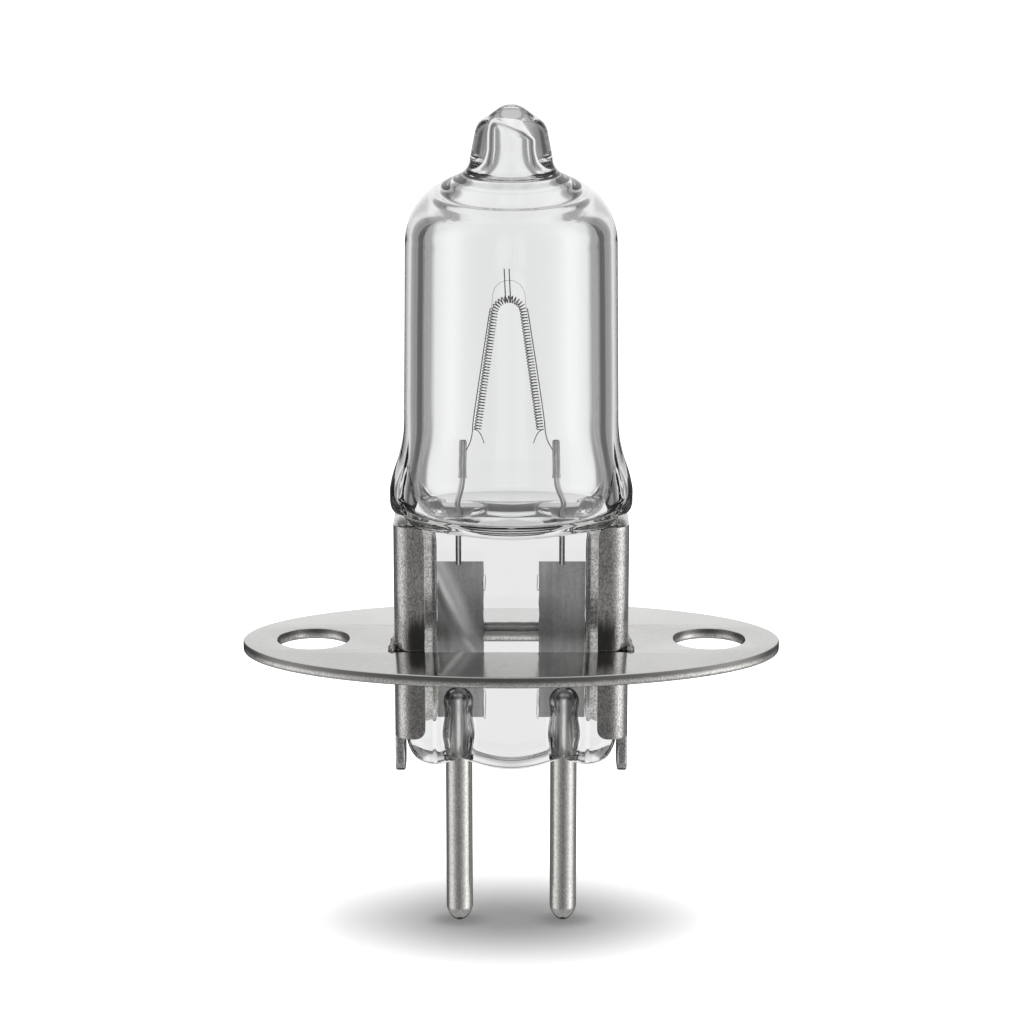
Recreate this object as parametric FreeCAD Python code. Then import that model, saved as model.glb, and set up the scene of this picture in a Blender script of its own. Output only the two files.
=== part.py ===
import FreeCAD, Part
import math
import os
from FreeCAD import Vector

# Halogen capsule bulb on an oval mounting plate. Millimetres, +Z up towards the tip.
# The origin is the middle of the two screw holes, on the plate's seating face underneath.
# The front looks along -Y, and left and right are -X and +X.

# Mounting plate
plate_length = 20.3
plate_width = 9.9
plate_thickness = 0.44
plate_edge_bevel = 0.1
screw_hole_spacing = 15.0
screw_hole_diameter = 2.7
slot_clearance = 0.05
slot_corner_radius = 0.3

# Pressed seal of the glass
seal_width = 8.0
seal_thickness = 2.6
seal_corner_radius = 0.35
seal_top_z = 5.33
seal_side_z = -3.72
seal_lobe_z = -4.13
seal_notch_z = -3.94
seal_middle_z = -4.36
seal_foot_radius = 0.55
seal_overlap = 0.3
seal_tuck = 0.12

# Glass ridges over the outer leads
ridge_radius = 0.5
ridge_top_radius = 0.2
ridge_top_z = -1.1
ridge_shoulder_z = -1.5
ridge_end_z = -3.9
ridge_inset = 0.32

# Barrel of the glass
barrel_foot_z = 9.3
barrel_radius = 3.95
shoulder_z = 15.525
glass_wall = 0.7
flare_width = 9.03
flare_position = 0.86
flare_onset_power = 3
flare_turn_power = 0.3
roll_power = 0.7
round_squareness = 2.0
transition_squareness = 0.9
transition_steps = 6
transition_lip = 0.015
outline_points = 32
length_tolerance = 1e-6

# Dome and sealed exhaust tip of the glass
dome_corner_radius = 2.523
dome_corner_steps = 3
dome_slope_deg = 24.2
tip_foot_cove = 0.45
tip_radius = 1.42
tip_shoulder_z = 19.3
tip_saddle_radius = 0.82
tip_saddle_z = 20.2
tip_nub_radius = 0.5
tip_top_z = 20.59

# Hollow of the glass
hollow_corner_bevel = 0.7
hollow_slope_deg = 31.5
hollow_shoulder_drop = 0.12
bore_radius = 0.55
bore_top_z = 19.4
bore_cove = 0.4
floor_z = 5.4
floor_width = 6.3
floor_depth = 2.2

# Clips folded round the seal
clip_sheet = 0.39
clip_bend_radius = 0.15
clip_top_gap = 0.02
clip_bottom_z = -3.03
clip_front_flange = 1.16
clip_rear_flange = 1.46
clip_flange_corner = 0.38
clip_tab_end_z = -4.7
clip_tab_width = 1.5
clip_tab_round = 0.45

# Tack welds between the clips and the plate
tack_radius = 0.2
tack_length = 1.0
tack_offset_y = -0.45

# Contact pins
pin_spacing = 4.0
pin_diameter = 1.02
pin_end_z = -10.85
pin_taper_length = 0.53
pin_end_diameter = 0.46
pin_glass_gap = 0.26
pin_top_z = seal_notch_z - pin_glass_gap

# Outer leads, sealing foils and inner leads
outer_lead_diameter = 0.58
outer_lead_overlap = 0.7
foil_width = 1.75
foil_thickness = 0.03
foil_top_z = 3.57
foil_bottom_z = -2.56
foil_spacing = 3.83
inner_lead_diameter = 0.22
inner_lead_overlap = 0.3
inner_lead_spacing = 3.92
lead_sides = 12
weld_land = 0.1

# Posts that the inner leads form inside the hollow
mount_shift = -0.09
post_spacing = 3.28
post_bow = 0.1
post_foot_rise = 0.1
post_bow_z = 6.36
post_top_z = 8.08
sleeve_wall = 0.03
sleeve_bottom_z = 6.83
sleeve_overhang = 0.1

# Coiled filament
coil_apex_z = 13.49
coil_arch_radius = 0.54
coil_leg_length = 4.5
coil_leg_slope_deg = 8.1
coil_radius = 0.125
filament_wire_radius = 0.0275
coil_pitch = 0.145
points_per_turn = 6
coil_wire_sides = 3
tail_length = 0.6
tail_turn_deg = 55.0
tail_points = 6

# Fine wires beside and over the coil
side_wire_diameter = 0.04
side_wire_gap = 0.01
side_wire_foot_z = 7.79
side_wire_hook_rise = 0.28
side_wire_hook_share = 0.35
side_wire_bend_radius = 0.08
loop_wire_diameter = 0.02
loop_top_z = 14.2
loop_points = 12
fine_wire_sides = 6
stay_wire_diameter = 0.05
stay_wire_spacing = 0.18
stay_wire_shift = -0.07
stay_top_z = 14.64
stay_reach = 0.12

# Worked out from the sizes above
sides = {"left": -1, "right": 1}
seal_half = seal_thickness / 2
clip_half = seal_half + clip_sheet
clip_reach = seal_width / 2 + clip_sheet
clip_top_z = seal_top_z - seal_tuck - clip_top_gap
coil_centre_z = coil_apex_z - coil_arch_radius
coil_slope = math.radians(coil_leg_slope_deg)
coil_outer = coil_radius + filament_wire_radius


def polar(centre, radius, angle):
    return Vector(centre[0] + radius * math.cos(angle), 0, centre[1] + radius * math.sin(angle))


def wire_through(edges):
    """Join arcs with the straight lines that lie between their ends."""
    chain = []
    for edge in edges:
        if chain:
            last = chain[-1].lastVertex(True).Point
            first = edge.firstVertex(True).Point
            if last.distanceToPoint(first) > 1e-7:
                chain.append(Part.makeLine(last, first))
        chain.append(edge)
    return chain


def revolved(edges):
    """Close a half section on the axis and turn it into a solid."""
    top = edges[-1].lastVertex(True).Point
    bottom = edges[0].firstVertex(True).Point
    axis_top = Vector(0, 0, top.z)
    axis_bottom = Vector(0, 0, bottom.z)
    closing = []
    if top.distanceToPoint(axis_top) > 1e-7:
        closing.append(Part.makeLine(top, axis_top))
    closing.append(Part.makeLine(axis_top, axis_bottom))
    closing.append(Part.makeLine(axis_bottom, bottom))
    face = Part.Face(Part.Wire(edges + closing))
    return face.revolve(Vector(0, 0, 0), Vector(0, 0, 1), 360)


def stem_edges(start, slope, stem, cove):
    """Slope of a dome from its corner to the cove below a narrower stem."""
    meeting_z = start.z + (start.x - stem) * math.tan(slope)
    slope_end = Vector(stem + cove * math.cos(slope), 0, meeting_z - cove * math.sin(slope))
    cove_end = Vector(stem, 0, meeting_z + cove)
    return [Part.makeLine(start, slope_end), Part.makeLine(slope_end, cove_end)]


def tip_edges():
    """Shoulder of the exhaust tip and the nub where it was melted off."""
    shoulder = Vector(tip_radius, 0, tip_shoulder_z)
    saddle = Vector(tip_saddle_radius, 0, tip_saddle_z)
    nub = Vector(tip_nub_radius, 0, (tip_saddle_z + tip_top_z) / 2)
    top = Vector(0, 0, tip_top_z)
    return [Part.makeLine(shoulder, saddle), Part.makeLine(saddle, nub), Part.makeLine(nub, top)]


def barrel_solid():
    """Outside of the round part: wall, domed corner, slope and exhaust tip."""
    slope = math.radians(dome_slope_deg)
    corner_centre = (barrel_radius - dome_corner_radius, shoulder_z)
    turn = math.pi / 2 - slope
    foot = Vector(barrel_radius, 0, barrel_foot_z)
    wall = Part.makeLine(foot, Vector(barrel_radius, 0, shoulder_z))
    turns = [turn * step / dome_corner_steps for step in range(dome_corner_steps + 1)]
    corner = [polar(corner_centre, dome_corner_radius, angle) for angle in turns]
    edges = [wall] + [Part.makeLine(a, b) for a, b in zip(corner, corner[1:])]
    edges += stem_edges(corner[-1], slope, tip_radius, tip_foot_cove)
    return revolved(wire_through(edges + tip_edges()))


def hollow_solid():
    """Inside of the round part, up to the end of the bore in the exhaust tip."""
    radius = barrel_radius - glass_wall
    shoulder = Vector(radius, 0, shoulder_z - hollow_shoulder_drop)
    wall = Part.makeLine(Vector(radius, 0, barrel_foot_z), shoulder)
    slope = math.radians(hollow_slope_deg)
    bevel_end = shoulder + Vector(-hollow_corner_bevel, 0, hollow_corner_bevel)
    bevel = Part.makeLine(shoulder, bevel_end)
    end = Part.makeLine(Vector(bore_radius, 0, bore_top_z), Vector(0, 0, bore_top_z))
    return revolved(wire_through([wall, bevel] + stem_edges(bevel_end, slope, bore_radius, bore_cove) + [end]))


def oval_section(half_width, half_depth, squareness, z):
    """Many-sided outline between an ellipse and a rounded rectangle."""
    points = []
    for step in range(outline_points + 1):
        angle = 2 * math.pi * (step % outline_points) / outline_points
        cosine = math.cos(angle)
        sine = math.sin(angle)
        reach = (abs(cosine) ** squareness + abs(sine) ** squareness) ** (-1 / squareness)
        points.append(Vector(half_width * reach * cosine, half_depth * reach * sine, z))
    return Part.makePolygon(points)


def rolled(share, start_size, end_size):
    """Quarter round that leaves start_size slowly and turns under to end_size."""
    return end_size + (start_size - end_size) * max(0.0, 1 - share ** 2) ** roll_power


def flared(share, start_size, widest, end_size):
    """Swell out to the widest place and turn under below it."""
    if share < flare_position:
        swell = math.sin(math.pi / 2 * share / flare_position) ** flare_onset_power
        return start_size + (widest - start_size) * swell
    beyond = (share - flare_position) / (1 - flare_position)
    return end_size + (widest - end_size) * max(0.0, 1 - beyond ** 2) ** flare_turn_power


def transition_solid(inset, bottom_z, end_width, end_depth):
    """Loft from the round barrel down to the flat seal, or its hollow, inset by the wall."""
    start = (barrel_radius - inset + transition_lip) / math.cos(math.pi / outline_points)
    widest = flare_width / 2 - inset
    fall = barrel_foot_z - bottom_z
    sections = []
    for step in range(transition_steps + 1):
        share = math.sin(math.pi / 2 * step / transition_steps)
        half_width = flared(share, start, widest, end_width / 2)
        half_depth = rolled(share, start, end_depth / 2)
        squareness = round_squareness + transition_squareness * share
        sections.append(oval_section(half_width, half_depth, squareness, barrel_foot_z - fall * share))
    return Part.makeLoft(sections, True, True)


def seal_outline():
    """Front view of the pressed seal, with its scalloped lower edge."""
    half = seal_width / 2
    pin_x = pin_spacing / 2
    lobe_x = (half + pin_x) / 2
    top = seal_top_z + seal_overlap
    left_low = Vector(-half, 0, seal_side_z + seal_foot_radius)
    right_low = Vector(half, 0, seal_side_z + seal_foot_radius)
    left_foot = Vector(-half + seal_foot_radius, 0, seal_side_z - seal_foot_radius / 4)
    right_foot = Vector(half - seal_foot_radius, 0, seal_side_z - seal_foot_radius / 4)
    left_pin = Vector(-pin_x, 0, seal_notch_z)
    right_pin = Vector(pin_x, 0, seal_notch_z)
    corner = seal_foot_radius * (1 - math.sqrt(0.5))
    left_corner = Vector(-half + corner, 0, seal_side_z + corner / 2)
    right_corner = Vector(half - corner, 0, seal_side_z + corner / 2)
    edges = [
        Part.makeLine(Vector(-half, 0, top), left_low),
        Part.Arc(left_low, left_corner, left_foot).toShape(),
        Part.Arc(left_foot, Vector(-lobe_x, 0, seal_lobe_z), left_pin).toShape(),
        Part.Arc(left_pin, Vector(0, 0, seal_middle_z), right_pin).toShape(),
        Part.Arc(right_pin, Vector(lobe_x, 0, seal_lobe_z), right_foot).toShape(),
        Part.Arc(right_foot, right_corner, right_low).toShape(),
        Part.makeLine(right_low, Vector(half, 0, top)),
        Part.makeLine(Vector(half, 0, top), Vector(-half, 0, top)),
    ]
    return Part.Wire(edges)


def seal_solid():
    """Pressed slab: the front view, trimmed to the rounded plan of the press."""
    slab = Part.Face(seal_outline()).extrude(Vector(0, seal_thickness, 0))
    slab.translate(Vector(0, -seal_half, 0))
    low = seal_middle_z - seal_overlap
    height = seal_top_z + seal_overlap - low
    plan = Part.makeBox(seal_width, seal_thickness, height, Vector(-seal_width / 2, -seal_half, low))
    return slab.common(plan.makeFillet(seal_corner_radius, upright_edges(plan, height)))


def upright_edges(solid, height):
    return [e for e in solid.Edges if abs(e.BoundBox.ZLength - height) < length_tolerance]


def ridge_solid(side, face):
    """Glass drawn up over one outer lead, on the front or the back of the seal."""
    x = side * pin_spacing / 2
    y = face * (seal_half - ridge_inset)
    body = Part.makeCylinder(ridge_radius, ridge_shoulder_z - ridge_end_z, Vector(x, y, ridge_end_z))
    rise = ridge_top_z - ridge_shoulder_z
    top = Part.makeCone(ridge_radius, ridge_top_radius, rise, Vector(x, y, ridge_shoulder_z))
    return body.fuse(top)


def envelope_solid(embedded):
    """Blown and pressed quartz: outside, less the hollow and the metal sealed into it."""
    ends = (seal_width - 2 * seal_tuck, seal_thickness - 2 * seal_tuck)
    outside = barrel_solid().fuse(transition_solid(0, seal_top_z - seal_tuck, *ends))
    outside = outside.fuse(seal_solid())
    for side in sides.values():
        for face in (-1, 1):
            outside = outside.fuse(ridge_solid(side, face))
    hollow = hollow_solid().fuse(transition_solid(glass_wall, floor_z, floor_width, floor_depth))
    solid = outside.cut(hollow)
    for metal in embedded:
        solid = solid.cut(metal)
    return solid.removeSplitter().Solids[0]


def cylinder(radius, low, high, x):
    return Part.makeCylinder(radius, high - low, Vector(x, 0, low))


def foil_solid(side):
    corner = Vector(side * foil_spacing / 2 - foil_width / 2, -foil_thickness / 2, foil_bottom_z)
    return Part.makeBox(foil_width, foil_thickness, foil_top_z - foil_bottom_z, corner)


def flattened(rod, low, high, x, radius):
    """Weld land: the rod is pressed flat where it lies on the front of the foil."""
    corner = Vector(x - radius, -foil_thickness / 2, low)
    return rod.cut(Part.makeBox(2 * radius, 2 * radius, high - low, corner))


def outer_lead_solid(side):
    radius = outer_lead_diameter / 2
    x = side * pin_spacing / 2
    top = foil_bottom_z + outer_lead_overlap
    rod = faceted_wire([Vector(x, 0, pin_top_z), Vector(x, 0, top)], radius, lead_sides)
    return flattened(rod, foil_bottom_z - weld_land, top, x, radius)


def pin_solid(side):
    radius = pin_diameter / 2
    x = side * pin_spacing / 2
    profile = [
        Vector(0, 0, pin_end_z),
        Vector(pin_end_diameter / 2, 0, pin_end_z),
        Vector(radius, 0, pin_end_z + pin_taper_length),
        Vector(radius, 0, pin_top_z),
        Vector(0, 0, pin_top_z),
    ]
    face = Part.Face(Part.makePolygon(profile + [profile[0]]))
    pin = face.revolve(Vector(0, 0, 0), Vector(0, 0, 1), 360)
    pin.translate(Vector(x, 0, 0))
    return pin


def bent_points(points, radius):
    """Path with each corner replaced by three points on the arc of its bend."""
    path = [points[0]]
    for before, corner, after in zip(points, points[1:], points[2:]):
        to_corner = (corner - before).normalize()
        from_corner = (after - corner).normalize()
        turn = to_corner.getAngle(from_corner)
        setback = radius * math.tan(turn / 2)
        inward = (from_corner - to_corner).normalize()
        centre = corner + inward * (radius / math.cos(turn / 2))
        path.append(corner - to_corner * setback)
        path.append(centre - inward * radius)
        path.append(corner + from_corner * setback)
    return path + [points[-1]]


def faceted_wire(points, radius, side_count):
    """Wire of flat-sided section through many points, carried along without twist."""
    rings = []
    last = len(points) - 1
    normal = Vector(0, 1, 0)
    for index, point in enumerate(points):
        along = (points[min(index + 1, last)] - points[max(index - 1, 0)]).normalize()
        normal = (normal - along * normal.dot(along)).normalize()
        across = along.cross(normal)
        turns = [2 * math.pi * corner / side_count for corner in range(side_count)]
        rings.append([point + (normal * math.cos(a) + across * math.sin(a)) * radius for a in turns])
    faces = [Part.Face(Part.makePolygon(ring + ring[:1])) for ring in (rings[0], rings[-1])]
    for ring, following in zip(rings, rings[1:]):
        for corner in range(side_count):
            near = Part.makeLine(ring[corner - 1], ring[corner])
            far = Part.makeLine(following[corner - 1], following[corner])
            faces.append(Part.makeRuledSurface(near, far))
    skin = Part.makeShell(faces)
    skin.sewShape()
    solid = Part.makeSolid(skin.Shells[0])
    if solid.Volume < 0:
        solid.reverse()
    return solid


def post_x(side):
    return mount_shift + side * post_spacing / 2


def inner_lead_solid(side):
    """Lead from the foil up through the glass, bowed over into its post."""
    radius = inner_lead_diameter / 2
    lead_x = side * inner_lead_spacing / 2
    low = foil_top_z - inner_lead_overlap
    points = [
        Vector(lead_x, 0, low),
        Vector(lead_x, 0, floor_z),
        Vector(lead_x, 0, floor_z + post_foot_rise),
        Vector(post_x(side) - side * post_bow, 0, post_bow_z),
        Vector(post_x(side), 0, sleeve_bottom_z - post_bow),
        Vector(post_x(side), 0, sleeve_bottom_z),
        Vector(post_x(side), 0, post_top_z),
    ]
    lead = faceted_wire(points, radius, lead_sides)
    return flattened(lead, low, foil_top_z + weld_land, lead_x, radius)


def sleeve_solid(side, lead):
    """Thin tube crimped over the top of the post."""
    bottom = Vector(post_x(side), 0, sleeve_bottom_z)
    top = Vector(post_x(side), 0, post_top_z + sleeve_overhang)
    return faceted_wire([bottom, top], inner_lead_diameter / 2 + sleeve_wall, lead_sides).cut(lead)


def coil_axis(distance):
    """Point and direction at a distance along the coil's inverted-V centre line."""
    arch = coil_arch_radius * (math.pi - 2 * coil_slope)
    centre = (mount_shift, coil_centre_z)
    if distance < coil_leg_length:
        end = polar(centre, coil_arch_radius, math.pi - coil_slope)
        along = Vector(math.sin(coil_slope), 0, math.cos(coil_slope))
        return end - along * (coil_leg_length - distance), along
    if distance < coil_leg_length + arch:
        angle = math.pi - coil_slope - (distance - coil_leg_length) / coil_arch_radius
        along = Vector(math.sin(angle), 0, -math.cos(angle))
        return polar(centre, coil_arch_radius, angle), along
    end = polar(centre, coil_arch_radius, coil_slope)
    along = Vector(math.sin(coil_slope), 0, -math.cos(coil_slope))
    return end + along * (distance - coil_leg_length - arch), along


def coil_points():
    """Centre line of the wound wire, turn by turn."""
    length = 2 * coil_leg_length + coil_arch_radius * (math.pi - 2 * coil_slope)
    count = round(length / coil_pitch) * points_per_turn
    points = []
    for step in range(count + 1):
        place, along = coil_axis(length * step / count)
        across = along.cross(Vector(0, 1, 0))
        angle = 2 * math.pi * step / points_per_turn
        points.append(place + (across * math.cos(angle) + Vector(0, math.sin(angle), 0)) * coil_radius)
    return points


def tail_from(end, side):
    """Loose end of the wound wire, curling down and inwards."""
    points = []
    place = Vector(end)
    angle = -math.pi / 2
    for step in range(tail_points):
        place = place + Vector(-side * math.cos(angle), 0, math.sin(angle)) * (tail_length / tail_points)
        angle += math.radians(tail_turn_deg) / tail_points
        points.append(place)
    return points


def filament_solid():
    turns = coil_points()
    left_tail = tail_from(turns[0], sides["left"])
    right_tail = tail_from(turns[-1], sides["right"])
    return faceted_wire(left_tail[::-1] + turns + right_tail, filament_wire_radius, coil_wire_sides)


def side_wire_offset():
    return coil_outer + side_wire_gap + side_wire_diameter / 2


def side_wire_top(side):
    """Upper end of a side wire, on the outside of the coil below its arch."""
    centre = (mount_shift, coil_centre_z)
    reach = coil_arch_radius + side_wire_offset()
    end = polar(centre, reach, coil_slope)
    return Vector(mount_shift + side * (end.x - mount_shift), 0, end.z)


def side_wire_solid(side):
    """Straight wire outside one leg of the coil, curving in to the top of its post."""
    top = side_wire_top(side)
    leg = coil_leg_length
    foot = top + Vector(side * math.sin(coil_slope), 0, -math.cos(coil_slope)) * leg
    sleeve_reach = inner_lead_diameter / 2 + sleeve_wall + side_wire_gap + side_wire_diameter / 2
    sleeve_face = post_x(side) - side * sleeve_reach
    hook_x = foot.x + (sleeve_face - foot.x) * side_wire_hook_share
    hook = Vector(hook_x, 0, side_wire_foot_z + side_wire_hook_rise)
    end = Vector(sleeve_face, 0, side_wire_foot_z)
    path = bent_points([top, foot, hook, end], side_wire_bend_radius)
    return faceted_wire(path, side_wire_diameter / 2, fine_wire_sides)


def loop_solid():
    """Hairline loop over the coil's arch, from one side wire to the other."""
    lift = Vector(0, 0, side_wire_gap)
    left = side_wire_top(sides["left"]) + lift
    right = side_wire_top(sides["right"]) + lift
    arch = Part.Arc(left, Vector(mount_shift, 0, loop_top_z), right).toShape()
    return faceted_wire(arch.discretize(loop_points), loop_wire_diameter / 2, fine_wire_sides)


def stay_solid(side):
    """Short upright wire that holds the coil's arch, in front of it."""
    x = mount_shift + stay_wire_shift + side * stay_wire_spacing / 2
    radius = stay_wire_diameter / 2
    y = -(coil_outer + side_wire_gap + radius)
    ends = [Vector(x, y, coil_apex_z - stay_reach), Vector(x, y, stay_top_z)]
    return faceted_wire(ends, radius, fine_wire_sides)


def oval_plate():
    """Stamped oval with a slot for the seal and a screw hole at each end."""
    ellipse = Part.Ellipse(Vector(0, 0, 0), plate_length / 2, plate_width / 2)
    face = Part.Face(Part.Wire(ellipse.toShape()))
    blank = face.extrude(Vector(0, 0, plate_thickness))
    top_rim = [e for e in blank.Edges if e.BoundBox.ZMin > plate_thickness - 1e-6]
    blank = blank.makeChamfer(plate_edge_bevel, top_rim)
    half_x = clip_reach + slot_clearance
    half_y = clip_half + slot_clearance
    height = 3 * plate_thickness
    slot = Part.makeBox(2 * half_x, 2 * half_y, height, Vector(-half_x, -half_y, -plate_thickness))
    plate = blank.cut(slot.makeFillet(slot_corner_radius, upright_edges(slot, height)))
    for side in sides.values():
        x = side * screw_hole_spacing / 2
        plate = plate.cut(cylinder(screw_hole_diameter / 2, -plate_thickness, 2 * plate_thickness, x))
    return plate


def channel_section(low, height):
    """Right-hand channel: web outside, one flange on each broad face of the seal."""
    front = Part.makeBox(clip_front_flange, clip_half, height,
                         Vector(clip_reach - clip_front_flange, -clip_half, low))
    rear = Part.makeBox(clip_rear_flange, clip_half, height, Vector(clip_reach - clip_rear_flange, 0, low))
    outer = front.fuse(rear).removeSplitter()
    corners = [e for e in upright_edges(outer, height) if e.BoundBox.XMin > clip_reach - 1e-6]
    outer = outer.makeFillet(clip_bend_radius + clip_sheet, corners)
    depth = clip_rear_flange * 2
    inner = Part.makeBox(depth, seal_thickness, height, Vector(seal_width / 2 - depth, -seal_half, low))
    corners = [e for e in upright_edges(inner, height) if e.BoundBox.XMin > seal_width / 2 - 1e-6]
    return outer.cut(inner.makeFillet(clip_bend_radius, corners))


def flange_blank(width, low_y, high_y):
    """Side view of a flange, with its two free corners rounded."""
    height = clip_top_z - clip_bottom_z
    corner = Vector(clip_reach - width, low_y, clip_bottom_z)
    blank = Part.makeBox(width, high_y - low_y, height, corner)
    free = [e for e in blank.Edges if e.BoundBox.YLength > 0.5 and e.BoundBox.XMax < corner.x + 1e-6]
    return blank.makeFillet(clip_flange_corner, free)


def clip_solid(side):
    """Channel folded from one strip, with a narrow tab below its web."""
    low = clip_tab_end_z
    channel = channel_section(low, clip_top_z - low)
    front = flange_blank(clip_front_flange, -clip_half, 0)
    rear = flange_blank(clip_rear_flange, 0, clip_half)
    half_tab = clip_tab_width / 2
    tab_reach = clip_bottom_z - clip_tab_end_z + clip_tab_width
    tab = Part.makeBox(clip_sheet, clip_tab_width, tab_reach, Vector(seal_width / 2, -half_tab, low))
    ends = [e for e in tab.Edges if e.BoundBox.XLength > clip_sheet / 2 and e.BoundBox.ZMax < low + 1e-6]
    tab = tab.makeFillet(clip_tab_round, ends)
    clip = channel.common(front.fuse(rear).fuse(tab)).removeSplitter()
    if side < 0:
        clip = clip.mirror(Vector(0, 0, 0), Vector(1, 0, 0))
    return clip


def tack_solid(side):
    """Small weld bead in the corner between a clip's web and the plate."""
    low = tack_offset_y - tack_length / 2
    start = Vector(clip_reach, low, plate_thickness)
    bead = Part.makeCylinder(tack_radius, tack_length, start, Vector(0, 1, 0))
    room = Part.makeBox(2 * tack_radius, 2 * tack_length, 2 * tack_radius,
                        Vector(clip_reach, tack_offset_y - tack_length, plate_thickness))
    bead = bead.common(room)
    if side < 0:
        bead = bead.mirror(Vector(0, 0, 0), Vector(1, 0, 0))
    return bead


def build():
    nodes = {}
    for name, side in sides.items():
        nodes["sealing_foil_" + name] = foil_solid(side)
        nodes["outer_lead_" + name] = outer_lead_solid(side)
        nodes["contact_pin_" + name] = pin_solid(side)
        nodes["inner_lead_" + name] = inner_lead_solid(side)
    nodes["quartz_envelope"] = envelope_solid(list(nodes.values()))
    for name, side in sides.items():
        nodes["post_sleeve_" + name] = sleeve_solid(side, nodes["inner_lead_" + name])
        nodes["side_wire_" + name] = side_wire_solid(side)
        nodes["stay_wire_" + name] = stay_solid(side)
        nodes["seal_clip_" + name] = clip_solid(side)
        nodes["tack_weld_" + name] = tack_solid(side)
    nodes["filament_coil"] = filament_solid()
    nodes["hairline_loop"] = loop_solid()
    nodes["mounting_plate"] = oval_plate()
    return nodes


os.makedirs("parts", exist_ok=True)
for node_name, shape in build().items():
    shape.exportStep("parts/" + node_name + ".step")
    box = shape.BoundBox
    print(node_name, shape.isValid(), len(shape.Solids), round(shape.Volume, 5),
          [round(v, 2) for v in (box.XMin, box.XMax, box.YMin, box.YMax, box.ZMin, box.ZMax)])
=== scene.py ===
from math import copysign, cos, exp, hypot, pi, radians, sin, sqrt, tan

import bmesh
import bpy
from mathutils import Matrix, Vector, geometry, noise


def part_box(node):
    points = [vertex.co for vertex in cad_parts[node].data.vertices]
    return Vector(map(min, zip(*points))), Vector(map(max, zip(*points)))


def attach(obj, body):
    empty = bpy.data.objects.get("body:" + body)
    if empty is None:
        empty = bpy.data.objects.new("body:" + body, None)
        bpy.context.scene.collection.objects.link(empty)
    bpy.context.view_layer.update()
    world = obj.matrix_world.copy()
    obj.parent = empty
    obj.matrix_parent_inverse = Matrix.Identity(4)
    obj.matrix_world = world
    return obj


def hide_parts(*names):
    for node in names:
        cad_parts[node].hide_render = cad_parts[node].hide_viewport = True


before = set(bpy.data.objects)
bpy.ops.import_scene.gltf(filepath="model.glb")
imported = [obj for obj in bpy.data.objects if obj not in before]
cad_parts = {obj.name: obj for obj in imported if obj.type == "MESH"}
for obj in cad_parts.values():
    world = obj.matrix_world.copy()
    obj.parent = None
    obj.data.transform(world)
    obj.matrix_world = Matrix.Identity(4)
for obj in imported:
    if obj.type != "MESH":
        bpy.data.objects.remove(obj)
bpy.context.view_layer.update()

# Halogen capsule bulb, dressed for a product photograph. Sizes in the dictionaries are millimetres.
# +Z points up to the tip, the front looks along -Y, left is -X.
mm = 0.001
sides = {"left": -1, "right": 1}
print("frame loaded:", len(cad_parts), "nodes")


# Shader maths: a socket that takes part in Python expressions
def operator(operation, swapped=False):
    def applied(self, other):
        terms = (other, self) if swapped else (self, other)
        return joined(self.tree, operation, *terms)
    return applied


class Term:
    __add__ = operator("ADD")
    __radd__ = operator("ADD", True)
    __sub__ = operator("SUBTRACT")
    __rsub__ = operator("SUBTRACT", True)
    __mul__ = operator("MULTIPLY")
    __rmul__ = operator("MULTIPLY", True)

    def __init__(self, tree, node, output):
        self.tree = tree
        self.node = node
        self.socket = node.outputs[output]

    def __abs__(self):
        return joined(self.tree, "ABSOLUTE", self)

    def other(self, output):
        return Term(self.tree, self.node, output)

    def maths(self, operation, *others):
        return joined(self.tree, operation, self, *others)


def joined(tree, operation, *terms):
    made = tree.nodes.new("ShaderNodeMath")
    made.operation = operation
    for place, value in zip(made.inputs, terms):
        feed(tree, place, value)
    return Term(tree, made, 0)


def feed(tree, place, value):
    if isinstance(value, Term):
        tree.links.new(value.socket, place)
    else:
        place.default_value = value


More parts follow.
